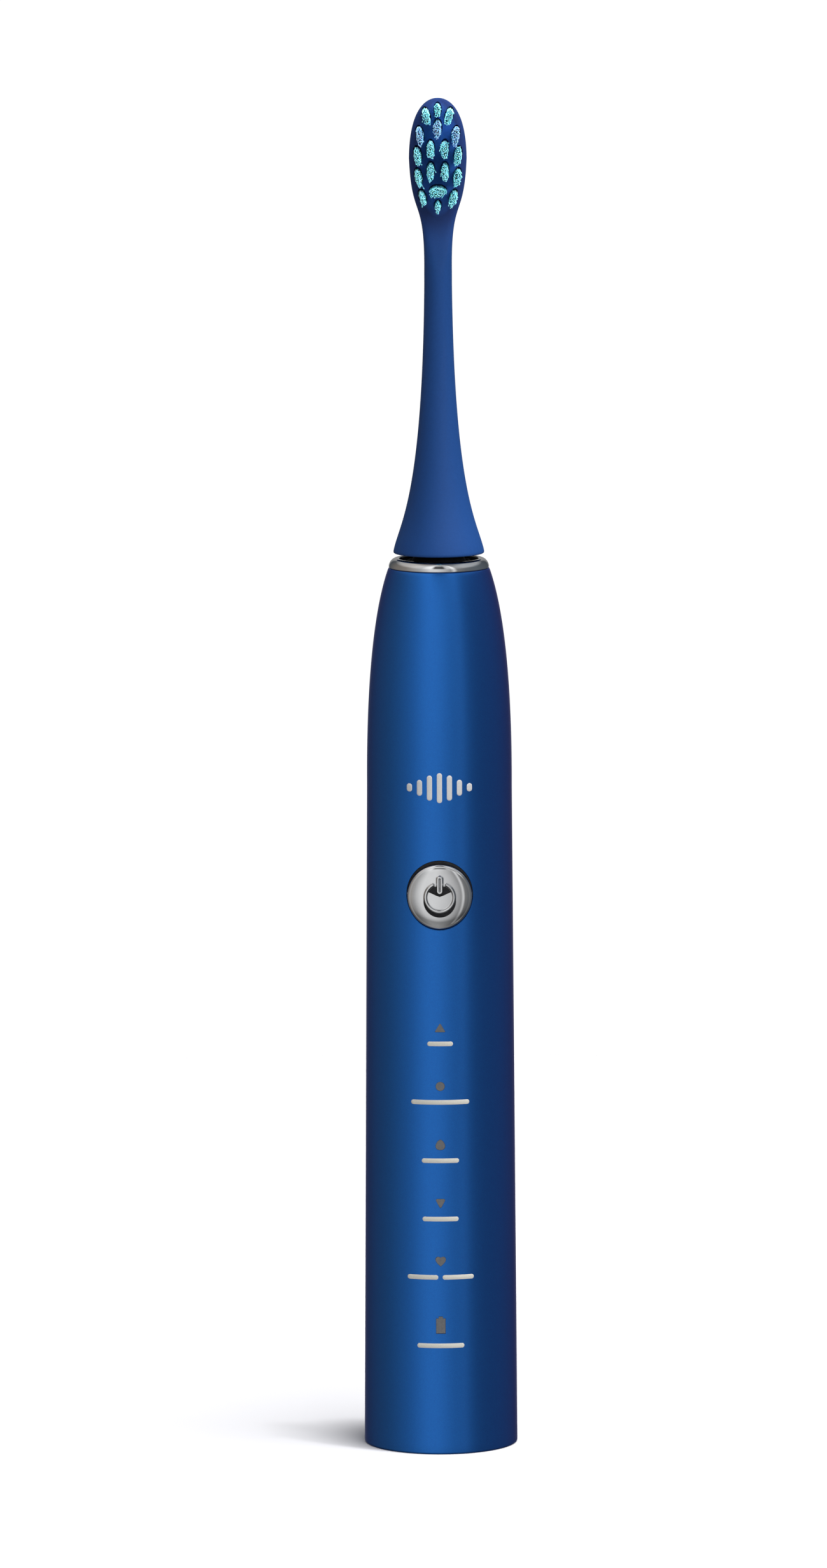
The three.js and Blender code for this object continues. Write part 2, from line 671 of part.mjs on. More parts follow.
function headShellGeometry() {
  const sockets = tufts.map((tuft) =>
    slabY(tuftShape(tuft, TUFT.socketGrow), TUFT.tipY, TUFT.rootY + 0.2, 5)
      .rotateY(tuft.turn)
      .translate(tuft.x, 0, headTip - tuft.below),
  );
  return cut(headBodyGeometry(), headSocketGeometry(), ...sockets);
}

/** The insert that grips the shaft: a sleeve with a D-shaped bore, a pocket for the clip and a foot. */
function couplerGeometry() {
  const [boreR, flatY] = [SHAFT.r + FIT, SHAFT.flatY - FIT];
  const bore = cut(rod(boreR, 4, 18.2, 24), block([-3, -3, 4], [3, flatY, 19]));
  const body = turned([[0, 4.9], [4.7, 4.9], [4.7, 6.2], [2.75, 6.2], [2.75, 18.3], [0, 18.3]], 24);
  const leadIn = rod(boreR, 4, 6.4, 24);
  const clipPocket = block([-1.1, flatY - 0.4, 4], [1.1, flatY + 0.2, 16.5]);
  return cut(body, bore, leadIn, clipPocket);
}

function addBrushHead(root) {
  const head = groupAt(root, 0, 0, HEAD.z);
  const clipFace = SHAFT.flatY - 0.1;
  add(head, "head_shell", headShellGeometry().translate(0, 0, -HEAD.z), M.blueHead);
  add(head, "head_coupler", couplerGeometry(), M.whitePlastic);
  add(head, "coupler_clip", block([-1, clipFace - 0.25, 7], [1, clipFace, 16]), M.steel);
  tufts.forEach((tuft, i) => {
    const finish = Math.abs(tuft.below - 6) < 1 ? M.bristleBlue : M.bristleTeal;
    const name = `tuft_${String(i + 1).padStart(2, "0")}`;
    const mesh = add(head, name, tuftGeometry(tuft), finish, [tuft.x, 0, HEAD.length - tuft.below]);
    mesh.rotation.y = tuft.turn;
  });
}

// ---------------------------------------------------------------- assembly

const toothbrush = new THREE.Group();
const handle = groupAt(toothbrush);
add(handle, "handle_shell", shellGeometry(windows), M.blueShell);
add(handle, "collar_ring", collarGeometry(), M.chrome);
add(handle, "shaft_seal", sealGeometry(), M.rubber);
addBase(handle);
addElectronics(handle);
addSwitch(handle);
addMotor(handle);
addDrive(toothbrush);
addBrushHead(toothbrush);

export default toothbrush;
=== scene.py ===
"""A sonic toothbrush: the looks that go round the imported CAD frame. Lengths are in millimetres until a
mesh is made, and +Z is up. The bristles and the power button face -Y."""

import json
import math
import random

import bmesh
import bpy
import numpy as np
from mathutils import Euler, Matrix, Vector
from mathutils.bvhtree import BVHTree


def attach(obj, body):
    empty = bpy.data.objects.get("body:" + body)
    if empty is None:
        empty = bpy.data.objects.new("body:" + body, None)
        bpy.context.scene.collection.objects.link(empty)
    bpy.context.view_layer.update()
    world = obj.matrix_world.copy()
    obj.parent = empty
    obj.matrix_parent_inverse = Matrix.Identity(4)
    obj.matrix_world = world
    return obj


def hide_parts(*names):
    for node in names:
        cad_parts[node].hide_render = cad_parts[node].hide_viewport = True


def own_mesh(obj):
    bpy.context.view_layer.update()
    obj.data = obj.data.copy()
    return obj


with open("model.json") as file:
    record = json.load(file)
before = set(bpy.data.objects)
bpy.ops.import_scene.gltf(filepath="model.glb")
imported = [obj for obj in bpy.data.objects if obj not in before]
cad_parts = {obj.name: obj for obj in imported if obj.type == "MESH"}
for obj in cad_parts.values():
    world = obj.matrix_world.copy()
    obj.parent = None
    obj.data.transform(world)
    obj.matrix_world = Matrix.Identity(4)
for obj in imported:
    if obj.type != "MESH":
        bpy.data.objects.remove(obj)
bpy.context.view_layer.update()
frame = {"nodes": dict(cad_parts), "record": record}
MM = 0.001

# ---------------------------------------------------------------- dimensions, as in the CAD model

BASE_R, RIM_ROUND = 14.1, 0.4
TAPER_R, TAPER_Z = 13.27, 122.0
TOP_R, TOP_Z = 9.22, 162.1
WALL = 1.55
SHOULDER = [(TAPER_R, TAPER_Z), (13.35, 143.3), (11.55, 155.6), (TOP_R, TOP_Z)]

COLLAR_Z, COLLAR_HEIGHT, COLLAR_INNER, COLLAR_SPIGOT = 162.15, 1.7, 7.25, 7.55

BUTTON_Z, BUTTON_R, HOLE_R = 103.5, 6.04, 6.3
BUTTON_PROUD, BUTTON_DOME, BUTTON_DROP, BUTTON_BEND, BUTTON_ROUND = 0.3, 0.4, 0.28, 0.5, 0.55
HOLE_OVAL, BUTTON_OVAL = (0.957, 1.01), (0.977, 0.993)
FLANGE_R, FLANGE_FRONT, FLANGE_BACK, STEM_BACK = 6.9, -9.5, -9.0, -8.5

HEAD_Z, HEAD_LENGTH, SKIRT_R, NECK_R = 164.8, 83.1, 8.3, 2.53
HEAD_TIP = HEAD_Z + HEAD_LENGTH
PLATE_HALF_WIDTH, PLATE_FRONT, PLATE_BACK, HEAD_MIDDLE_Y = 5.26, -1.7, 3.0, 0.3

WINDOW_TOP_Z, WINDOW_PITCH, CHARGE_Z = 79.1, 10.8, 24.1

# Tufts: x, distance below the head's tip, width and height at the root, lean, then at the trimmed tip:
# x, distance below, width, height, and which colour.
TUFTS = [
    (0.00, 2.00, 1.20, 2.40, 0, -0.06, 1.50, 1.35, 2.75, "teal"),
    (-2.05, 3.00, 1.30, 2.80, -15, -2.05, 2.75, 1.42, 3.20, "teal"),
    (2.05, 3.00, 1.30, 2.80, 15, 2.03, 2.85, 1.55, 3.10, "teal"),
    (0.00, 5.20, 1.45, 2.90, 0, -0.12, 5.05, 1.65, 3.20, "blue"),
    (-3.25, 6.45, 1.35, 2.90, -9, -3.27, 6.35, 1.45, 3.50, "blue"),
    (3.25, 6.45, 1.35, 2.90, 9, 3.25, 6.25, 1.62, 3.55, "blue"),
    (-1.30, 9.00, 1.40, 3.00, 0, -1.33, 8.85, 1.52, 3.40, "teal"),
    (1.30, 9.00, 1.40, 3.00, 0, 1.25, 8.85, 1.58, 3.40, "teal"),
    (-3.65, 10.15, 1.35, 3.00, -9, -3.68, 10.05, 1.35, 3.50, "teal"),
    (3.65, 10.15, 1.35, 3.00, 9, 3.62, 9.95, 1.55, 3.60, "teal"),
    (-1.30, 13.00, 1.40, 3.00, 0, -1.30, 12.95, 1.55, 3.30, "teal"),
    (1.30, 13.00, 1.40, 3.00, 0, 1.27, 12.95, 1.50, 3.35, "teal"),
    (-3.50, 14.10, 1.30, 3.00, -12, -3.55, 14.00, 1.15, 3.55, "teal"),
    (3.50, 14.10, 1.30, 3.00, 12, 3.55, 13.90, 1.50, 3.50, "teal"),
    (0.00, 16.60, 3.00, 1.70, 0, -0.08, 16.45, 3.40, 1.95, "teal"),
    (-2.80, 17.80, 1.25, 2.60, -17, -2.75, 17.65, 1.15, 2.70, "teal"),
    (2.80, 17.80, 1.25, 2.60, 17, 2.80, 17.85, 1.55, 3.30, "teal"),
    (0.00, 19.40, 1.20, 1.80, 0, 0.00, 19.25, 1.25, 2.00, "teal"),
]
TUFT_TIP_Y, TUFT_ROOT_Y = -10.4, -0.6

# ---------------------------------------------------------------- small maths


def bezier(points, count):
    """count + 1 points along a cubic Bezier."""
    p = np.array(points, float)
    t = np.linspace(0, 1, count + 1)[:, None]
    s = 1 - t
    return [tuple(q) for q in s**3 * p[0] + 3 * s * s * t * p[1] + 3 * s * t * t * p[2] + t**3 * p[3]]


def smoothstep(x, low, high):
    t = min(1.0, max(0.0, (x - low) / (high - low)))
    return t * t * (3 - 2 * t)


def lerp(a, b, t):
    return a + (b - a) * t


def turns(count):
    """count angles spread evenly over a full turn."""
    return [2 * math.pi * i / count for i in range(count)]


def rounded(points, closed=True, steps=4):
    """A polyline whose corners (x, y, radius) are rounded. Corners with no radius stay sharp."""
    count = len(points)
    out = []
    for i, point in enumerate(points):
        corner = Vector(point[:2])
        radius = point[2] if len(point) > 2 else 0
        is_end = not closed and i in (0, count - 1)
        if radius <= 0 or is_end:
            out.append(tuple(corner))
            continue
        before = Vector(points[i - 1][:2]) - corner
        after = Vector(points[(i + 1) % count][:2]) - corner
        reach = min(radius, 0.49 * before.length, 0.49 * after.length)
        a = corner + before.normalized() * reach
        b = corner + after.normalized() * reach
        for k in range(steps + 1):
            t = k / steps
            out.append(tuple(a * (1 - t) ** 2 + corner * 2 * t * (1 - t) + b * t * t))
    return out


# The handle's outer radius: a straight taper, then the shoulder.
_curve = np.array(bezier(SHOULDER, 200))


def handle_radius(z):
    if z <= TAPER_Z:
        return lerp(BASE_R, TAPER_R, z / TAPER_Z)
    return float(np.interp(z, _curve[:, 1], _curve[:, 0]))


def bend_round_handle(x):
    """How far back the handle's surface falls away at x, near the button."""
    r = handle_radius(BUTTON_Z)
    return r - math.sqrt(r * r - x * x)


def on_handle(x, z, out):
    """A point out from the handle's front surface."""
    r = handle_radius(z) + out
    return (x, -math.sqrt(r * r - x * x), z)


# ---------------------------------------------------------------- mesh helpers

AXIS_R = 1e-6  # a ring smaller than this is a single point on the axis


def linked(name, data):
    """An object for a mesh, a light or a camera, linked into the scene."""
    obj = bpy.data.objects.new(name, data)
    bpy.context.scene.collection.objects.link(obj)
    return obj


def object_of(bm, name, material, sharp=38.0, recalc=True):
    """A mesh object from a bmesh in millimetres. Edges that turn more than sharp degrees stay crisp."""
    bmesh.ops.remove_doubles(bm, verts=bm.verts, dist=1e-5)
    if recalc:
        bmesh.ops.recalc_face_normals(bm, faces=bm.faces)
    limit = math.radians(sharp)
    for face in bm.faces:
        face.smooth = True
    for edge in bm.edges:
        edge.smooth = len(edge.link_faces) == 2 and edge.calc_face_angle(0.0) < limit
    bmesh.ops.scale(bm, vec=(MM,) * 3, verts=bm.verts)
    mesh = bpy.data.meshes.new(name)
    bm.to_mesh(mesh)
    bm.free()
    mesh.materials.append(material)
    return linked(name, mesh)


def bridge(bm, a, b):
    """Faces between two rings of vertices, either of which may be a single point."""
    count = max(len(a), len(b))
    for i in range(count):
        j = (i + 1) % count
        corners = []
        for v in (a[i % len(a)], a[j % len(a)], b[j % len(b)], b[i % len(b)]):
            if v not in corners:
                corners.append(v)
        if len(corners) > 2:
            bm.faces.new(corners)


def rings_of(profile, segments, about="Z", centre=(0, 0, 0)):
    """Rings of points for a profile of (radius, height) turned about Z, or about Y with height along Y."""
    cx, cy, cz = centre
    rings = []
    for r, h in profile:
        ring = []
        for a in turns(segments)[: 1 if r < AXIS_R else segments]:
            if about == "Z":
                ring.append((cx + r * math.cos(a), cy + r * math.sin(a), cz + h))
            else:
                ring.append((cx + r * math.cos(a), cy + h, cz + r * math.sin(a)))
        rings.append(ring)
    return rings


def solid_of_rings(bm, rings, closed=False):
    """Faces through a row of rings. A closed row joins its last ring to its first."""
    made = [[bm.verts.new(p) for p in ring] for ring in rings]
    for a, b in zip(made, made[1:]):
        bridge(bm, a, b)
    if closed:
        bridge(bm, made[-1], made[0])
    return made


def solid_of_sections(bm, sections):
    """A solid through a row of sections, closed by its first and its last."""
    made = solid_of_rings(bm, sections)
    bm.faces.new(made[0])
    bm.faces.new(made[-1])


def lathe(name, profile, material, segments=128, about="Z", centre=(0, 0, 0), sharp=38.0):
    """A turned solid, from a profile that starts and ends on the axis or runs round a ring's section."""
    bm = bmesh.new()
    on_axis = profile[0][0] < AXIS_R and profile[-1][0] < AXIS_R
    solid_of_rings(bm, rings_of(profile, segments, about, centre), closed=not on_axis)
    return object_of(bm, name, material, sharp)


def prism(bm, outline, front, back):
    """A closed prism of an outline in x and z, between two depths. front may be a function of x."""
    depth = front if callable(front) else lambda x: front
    solid_of_sections(bm, [[(x, depth(x), z) for x, z in outline], [(x, back, z) for x, z in outline]])


def corner_normals(mesh):
    values = np.zeros(len(mesh.loops) * 3, np.float32)
    mesh.corner_normals.foreach_get("vector", values)
    return values.reshape(-1, 3)


class Surface:
    """A mesh's smooth normals, to be given back to what a boolean leaves of it."""

    FACE_GAP, CORNER_GAP = 4e-5, 6e-5  # how far, in metres, a kept face and its corners may lie from it
    SAME_WAY = 0.8  # the least cosine between a kept face's normal and its own

    def __init__(self, mesh, sign):
        mesh.calc_loop_triangles()
        self.sign = sign
        self.co = np.array([v.co for v in mesh.vertices])
        self.triangles = [tuple(t.vertices) for t in mesh.loop_triangles]
        self.loops = [tuple(t.loops) for t in mesh.loop_triangles]
        self.normals = corner_normals(mesh)
        self.tree = BVHTree.FromPolygons([tuple(c) for c in self.co], self.triangles)

    def match(self, points, normal):
        """The normals at points that all lie on this surface and face its way, or None."""
        middle = sum(points, Vector()) / len(points)
        found = self.tree.find_nearest(middle)
        if found[0] is None or (found[0] - middle).length > self.FACE_GAP:
            return None
        if self.sign * found[1].dot(normal) < self.SAME_WAY:
            return None
        out = []
        for p in points:
            # a hair inside the corner, so that the nearest triangle is on the face's own side of an edge
            near, _, index, _ = self.tree.find_nearest(middle.lerp(p, 0.999))
            if (near - p).length > self.CORNER_GAP:
                return None
            out.append(self.at(near, index))
        return out

    def at(self, point, index):
        """The smooth normal at a point of a triangle, from its three corners' normals."""
        a, b, c = (Vector(self.co[i]) for i in self.triangles[index])
        na, nb, nc = (Vector(self.normals[i]) for i in self.loops[index])
        v0, v1, v2 = b - a, c - a, point - a
        d00, d01, d11 = v0.dot(v0), v0.dot(v1), v1.dot(v1)
        d20, d21 = v2.dot(v0), v2.dot(v1)
        det = d00 * d11 - d01 * d01
        if abs(det) < 1e-24:
            return na * self.sign
        v = (d11 * d20 - d01 * d21) / det
        w = (d00 * d21 - d01 * d20) / det
        return ((na * (1 - v - w) + nb * v + nc * w) * self.sign).normalized()


def carve(obj, cutter_bm):
    """Cuts a bmesh of separate cutters out of obj and keeps both surfaces' smooth shading."""
    cutter = object_of(cutter_bm, "cutter", bpy.data.materials["rubber_black"])
    surfaces = [Surface(obj.data, 1), Surface(cutter.data, -1)]
    cut = obj.modifiers.new("cut", "BOOLEAN")
    cut.operation = "DIFFERENCE"
    cut.solver = "EXACT"
    cut.object = cutter
    graph = bpy.context.evaluated_depsgraph_get()
    graph.update()
    mesh = bpy.data.meshes.new_from_object(obj.evaluated_get(graph))
    obj.modifiers.clear()
    obj.data = mesh
    bpy.data.objects.remove(cutter)
    normals = [Vector((0, 0, 0))] * len(mesh.loops)
    for polygon in mesh.polygons:
        polygon.use_smooth = True
        points = [mesh.vertices[i].co for i in polygon.vertices]
        for surface in surfaces:
            found = surface.match(points, polygon.normal)
            if found:
                break
        for k, loop in enumerate(polygon.loop_indices):
            normals[loop] = found[k] if found else polygon.normal.copy()
    mesh.normals_split_custom_set([tuple(n) for n in normals])
    return obj


# ---------------------------------------------------------------- materials


class Nodes:
    """Short calls that add nodes to the tree of a material or a world."""

    def __init__(self, tree):
        self.tree = tree

    def link(self, a, b):
        self.tree.links.new(a, b)

    def node(self, kind, **values):
        made = self.tree.nodes.new(kind)
        for key, value in values.items():
            setattr(made, key, value)
        return made

    def fed(self, kind, *inputs, **values):
        """A node whose first inputs are the sockets, numbers or colours given."""
        made = self.node(kind, **values)
        for socket, value in zip(made.inputs, inputs):
            if isinstance(value, (int, float, tuple)):
                socket.default_value = value
            elif value is not None:
                self.link(value, socket)
        return made

    def maths(self, operation, *values):
        return self.fed("ShaderNodeMath", *values, operation=operation).outputs["Value"]

    def split(self, vector):
        return self.fed("ShaderNodeSeparateXYZ", vector).outputs

    def ramp(self, value, *stops):
        """A colour or grey ramp from (position, value or colour) stops."""
        made = self.node("ShaderNodeValToRGB")
        elements = made.color_ramp.elements
        while len(elements) < len(stops):
            elements.new(0.5)
        for element, (position, shade) in zip(elements, stops):
            element.position = position
            element.color = (*shade, 1) if isinstance(shade, tuple) else (shade, shade, shade, 1)
        self.link(value, made.inputs["Fac"])
        return made.outputs["Color"]


class Paint(Nodes):
    """A Principled material and short calls that add its procedural detail."""

    def __init__(self, name, colour, roughness, metallic=0.0, **sockets):
        self.material = bpy.data.materials.new(name)
        self.material.use_nodes = True
        super().__init__(self.material.node_tree)
        self.shader = self.tree.nodes["Principled BSDF"]
        self.colour = colour
        self.roughness = roughness
        self.shader.inputs["Base Color"].default_value = (*colour, 1)
        self.shader.inputs["Roughness"].default_value = roughness
        self.shader.inputs["Metallic"].default_value = metallic
        for key, value in sockets.items():
            self.shader.inputs[key.replace("_", " ")].default_value = value
        self.place = self.tree.nodes.new("ShaderNodeTexCoord").outputs["Object"]
        self.height = None

    def stretched(self, scale=(1, 1, 1), turn=(0, 0, 0)):
        """Object coordinates in millimetres, turned and then scaled on each axis."""
        made = self.fed("ShaderNodeMapping", self.place)
        made.inputs["Scale"].default_value = tuple(1000 * s for s in scale)
        made.inputs["Rotation"].default_value = turn
        return made.outputs["Vector"]

    def noise(self, size, detail=2.0, stretch=(1, 1, 1)):
        """Noise whose features are about size millimetres across."""
        made = self.node("ShaderNodeTexNoise")
        made.inputs["Scale"].default_value = 1.0
        made.inputs["Detail"].default_value = detail
        made.inputs["Roughness"].default_value = 0.5
        self.link(self.stretched([s / size for s in stretch]), made.inputs["Vector"])
        return made.outputs["Fac"]

    def cells(self, size, output="Distance"):
        """Cells about size millimetres across, by the distance to their middle or by a colour each."""
        made = self.node("ShaderNodeTexVoronoi", feature="F1")
        made.inputs["Scale"].default_value = 1.0
        self.link(self.stretched([1 / size] * 3), made.inputs["Vector"])
        return made.outputs[output]

    def tint(self, colour_socket):
        """Colours the shader from a socket."""
        self.link(colour_socket, self.shader.inputs["Base Color"])
        return self

    def mottle(self, factor, other, low=0.3, high=0.7):
        """Varies the colour towards other where factor is high."""
        return self.tint(self.ramp(factor, (low, self.colour), (high, other)))

    def worn(self, factor, spread, low=0.3, high=0.7):
        """Varies the roughness by spread."""
        ends = (low, self.roughness - spread), (high, self.roughness + spread)
        self.link(self.ramp(factor, *ends), self.shader.inputs["Roughness"])
        return self

    def bump(self, factor, depth):
        """Relief whose depth is in millimetres."""
        made = self.node("ShaderNodeBump")
        made.inputs["Strength"].default_value = 1.0
        made.inputs["Distance"].default_value = depth * MM
        self.link(factor, made.inputs["Height"])
        if self.height is not None:
            self.link(self.height, made.inputs["Normal"])
        self.height = made.outputs["Normal"]
        self.link(self.height, self.shader.inputs["Normal"])
        return self


def lacquer_blue():
    p = Paint("lacquer_blue", (0.004, 0.112, 0.425), 0.36, 0.97, Coat_Weight=0.32, Coat_Roughness=0.30,
              Specular_Tint=(0.48, 0.42, 0.60, 1), Sheen_Weight=0.015, Sheen_Roughness=0.8,
              Sheen_Tint=(0.45, 0.02, 0.5, 1))
    flakes = p.cells(0.11, output="Color")
    p.mottle(p.ramp(flakes, (0.0, 0.0), (1.0, 1.0)), (0.005, 0.130, 0.47), 0.2, 0.9)
    p.worn(p.noise(0.35, 3), 0.03)
    return p.bump(p.noise(0.16, 2), 0.0012)


TUFTS_MIDDLE = 11.0  # below the head's tip
# PAINTED_SHADE_GAIN is how strongly the painted shade on the tufted face is laid on; FACE_WARMTH adds red to
# that face
PAINTED_SHADE_GAIN, FACE_WARMTH = 2.4, (0.0036, -0.0018, 0.0)


def satin_blue():
    """Satin paint with painted shade on the tufted face: darker round the tufts, as if the plate stood in
    shadow, and painted light in among them against the tufts' own shadows.
    """
    p = Paint("satin_blue", (0.0058, 0.0295, 0.111), 0.56, 0.0, Specular_IOR_Level=0.12)
    blue = p.ramp(p.noise(0.3, 3), (0.3, (0.0058, 0.0300, 0.114)), (0.7, (0.0068, 0.0340, 0.128)))
    x, y, z = p.split(p.stretched())
    # 0 in the middle of the tufts and 1 on an oval just inside the plate's edge
    along = p.maths("DIVIDE", p.maths("SUBTRACT", z, HEAD_TIP - TUFTS_MIDDLE), 11.5)
    across = p.maths("DIVIDE", x, 4.6)
    squares = [p.maths("MULTIPLY", share, share) for share in (along, across)]
    oval = p.maths("SQRT", p.maths("ADD", *squares))
    # painted shade: full in among the tufts, where it lightens the plate, and darker round them
    face = p.ramp(p.maths("MULTIPLY", oval, 0.5), (0.33, 1.0), (0.46, 0.27), (0.53, 0.29), (0.66, 0.47))
    # 1 on the flat face at the plate, 0 elsewhere
    front = p.ramp(p.maths("ADD", p.maths("MULTIPLY", y, -0.5), 0.1), (0.0, 0.0), (0.35, 1.0))
    above_neck = p.maths("SUBTRACT", z, HEAD_TIP - 30)
    plate = p.ramp(p.maths("DIVIDE", above_neck, 12.0), (0.1, 0.0), (0.75, 1.0))
    mask = p.maths("MULTIPLY", front, plate)
    # the painted shade and light, laid only on the flat face at the plate
    more = p.maths("SUBTRACT", p.maths("MULTIPLY", face, PAINTED_SHADE_GAIN), 1.0)
    painted_shade_gain = p.maths("ADD", p.maths("MULTIPLY", more, mask), 1.0)
    scaled = p.fed("ShaderNodeVectorMath", blue, operation="SCALE")
    p.link(painted_shade_gain, scaled.inputs["Scale"])
    warmer = p.fed("ShaderNodeVectorMath", mask, FACE_WARMTH, scaled.outputs[0], operation="MULTIPLY_ADD")
    p.tint(warmer.outputs[0])
    p.worn(p.noise(0.6, 2), 0.035)
    return p.bump(p.noise(0.12, 3), 0.0022)


def grained(name, colour, other, roughness, tint, wear, relief, metallic=0.0, **sockets):
    """A finish mottled towards another colour, worn and grained. tint is a noise's arguments, and wear and
    relief are how much and then a noise's arguments."""
    p = Paint(name, colour, roughness, metallic, **sockets)
    p.mottle(p.noise(*tint), other)
    if wear:
        p.worn(p.noise(*wear[1:]), wear[0])
    return p.bump(p.noise(*relief[1:]), relief[0])


def bristle(name, colour, light):
    p = Paint(name, colour, 0.48, Subsurface_Weight=0.25, Subsurface_Scale=0.0004, Specular_IOR_Level=0.2)
    p.mottle(p.noise(0.22, 2, (1, 0.15, 1)), light, 0.25, 0.75)
    p.worn(p.noise(0.3, 2), 0.06)
    return p.bump(p.noise(0.06, 2, (1, 0.1, 1)), 0.002)


def moulded(name, colour, other, roughness=0.5, grain=0.25):
    """Moulded plastic with a fine sparked grain and slight flow marks."""
    wear, relief = (0.06, grain * 2, 3), (0.004, grain, 3)
    return grained(name, colour, other, roughness, (6, 4, (1, 1, 0.3)), wear, relief)


def steel(name, colour=(0.50, 0.51, 0.53), roughness=0.3, stretch=(1, 1, 14)):
    """Steel with fine drawn or turned lines."""
    other = tuple(c * 0.82 for c in colour)
    wear, relief = (0.07, 0.2, 3, stretch), (0.0015, 0.1, 2, stretch)
    return grained(name, colour, other, roughness, (0.12, 4, stretch), wear, relief, 1.0)


def copper_wound():
    """Enamelled wire laid in close turns round the handle's axis, with painted shade in the grooves between
    turns and a painted highlight on each turn's crown.
    """
    p = Paint("copper_wound", (0.55, 0.19, 0.07), 0.3, 0.9, Coat_Weight=0.4, Coat_Roughness=0.15)
    wave = p.node("ShaderNodeTexWave", wave_type="BANDS", bands_direction="Z", wave_profile="SIN")
    wave.inputs["Scale"].default_value = 0.9
    wave.inputs["Distortion"].default_value = 0.12
    wave.inputs["Detail Scale"].default_value = 0.3
    p.link(p.stretched(), wave.inputs["Vector"])
    turns_and_painted_shade = wave.outputs["Fac"]
    # painted shade between the turns and painted highlight on their crowns; the same bands give the real relief
    # below
    p.tint(p.ramp(turns_and_painted_shade, (0.0, (0.16, 0.045, 0.015)), (0.45, (0.50, 0.17, 0.06)), (1.0, (0.66, 0.25, 0.10))))
    p.bump(turns_and_painted_shade, 0.06)
    return p.bump(p.noise(0.4, 2), 0.004)


def board_green():
    """Solder mask over tracks."""
    p = Paint("board_green", (0.008, 0.075, 0.028), 0.28, Coat_Weight=0.5, Coat_Roughness=0.12)
    brick = p.node("ShaderNodeTexBrick", offset=0.37)
    brick.inputs["Scale"].default_value = 0.42
    brick.inputs["Mortar Size"].default_value = 0.06
    brick.inputs["Mortar Smooth"].default_value = 0.2
    brick.inputs["Brick Width"].default_value = 1.3
    brick.inputs["Row Height"].default_value = 0.6
    p.link(p.stretched(turn=(math.pi / 2, 0, 0)), brick.inputs["Vector"])
    p.tint(p.ramp(brick.outputs["Fac"], (0.0, (0.008, 0.070, 0.027)), (1.0, (0.025, 0.17, 0.06))))
    p.bump(brick.outputs["Fac"], 0.03)
    return p.bump(p.noise(0.3, 2), 0.002)


def ferrite(name, colour):
    p = Paint(name, colour, 0.6, 0.2)
    p.mottle(p.cells(0.3), tuple(c * 1.8 for c in colour), 0.1, 0.9)
    p.worn(p.noise(0.5, 3), 0.08)
    return p.bump(p.noise(0.2, 4), 0.01)


# The cell's sleeve is a shrunk film with slight stretch ripples.
PAINTS = {
    "blue_shell": lacquer_blue(),
    "blue_head": satin_blue(),
    "chrome_trim": grained("chrome", (0.555, 0.56, 0.57), (0.525, 0.53, 0.54), 0.07, (2.5, 3),
                           (0.022, 1.4, 4), (0.0004, 0.5, 2), 1.0),
    "black_rubber": grained("rubber_black", (0.006, 0.006, 0.0065), (0.010, 0.010, 0.011), 0.62, (0.5, 3),
                            (0.06, 0.9, 3), (0.004, 0.08, 2), Specular_IOR_Level=0.15),
    "silicone": moulded("silicone_grey", (0.42, 0.44, 0.47), (0.50, 0.52, 0.55), 0.55, 0.2),
    "bristle_teal": bristle("bristle_teal", (0.285, 0.79, 0.87), (0.38, 0.86, 0.92)),
    "bristle_blue": bristle("bristle_blue", (0.33, 0.63, 0.90), (0.43, 0.71, 0.94)),
    "window_grey": grained("window_grey", (0.050, 0.050, 0.052), (0.062, 0.062, 0.064), 0.42, (0.4, 2),
                           (0.04, 0.7, 2), (0.001, 0.1, 2), Coat_Weight=0.05),
    "white_plastic": moulded("plastic_white", (0.74, 0.74, 0.71), (0.80, 0.80, 0.77), 0.42),
    "grey_plastic": moulded("plastic_grey", (0.24, 0.25, 0.27), (0.29, 0.30, 0.32), 0.48),
    "black_plastic": moulded("plastic_black", (0.010, 0.010, 0.012), (0.018, 0.018, 0.02), 0.5),
    "board_green": board_green(),
    "copper_wire": copper_wound(),
    "cell_sleeve": grained("cell_sleeve", (0.02, 0.27, 0.09), (0.03, 0.34, 0.12), 0.22, (4, 3, (1, 1, 0.3)),
                           (0.05, 2, 3), (0.02, 3.5, 2, (1, 1, 0.25)), Coat_Weight=0.5, Coat_Roughness=0.08),
    "ferrite": ferrite("ferrite_grey", (0.022, 0.022, 0.025)),
    "laminated_core": steel("laminations", (0.16, 0.16, 0.17), 0.45, (14, 1, 1)),
    "magnet": steel("magnet_plated", (0.62, 0.62, 0.64), 0.16, (1, 1, 1)),
    "bronze": steel("bronze_sintered", (0.42, 0.23, 0.07), 0.42, (1, 1, 1)),
    "bare_steel": steel("steel_bare"),
}
pale = grained("print_pale", (0.28, 0.272, 0.24), (0.32, 0.312, 0.276), 0.45, (0.15, 3), None,
               (0.002, 0.09, 2)).material
silver = grained("print_silver", (0.35, 0.345, 0.34), (0.41, 0.405, 0.40), 0.36, (0.1, 2),
                 (0.05, 0.3, 2), (0.002, 0.08, 2), 0.3).material


def paint(slot):
    return PAINTS[slot].material


def place(obj, body, slot, *nodes):
    """Rides obj on its body and lets it stand for its CAD nodes, which are hidden. The slot is not used."""
    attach(obj, body)
    if nodes:
        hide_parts(*nodes)
    return obj


# Every CAD node that stays on show gets the material of its slot.
for part in frame["record"]["subparts"]:
    node = frame["nodes"][part["node"]]
    node.data.materials.clear()
    node.data.materials.append(paint(part["material_slot"]))

# ---------------------------------------------------------------- handle shell


def corner_polygon(points, radius):
    return rounded([(x, z, radius) for x, z in points], steps=5)


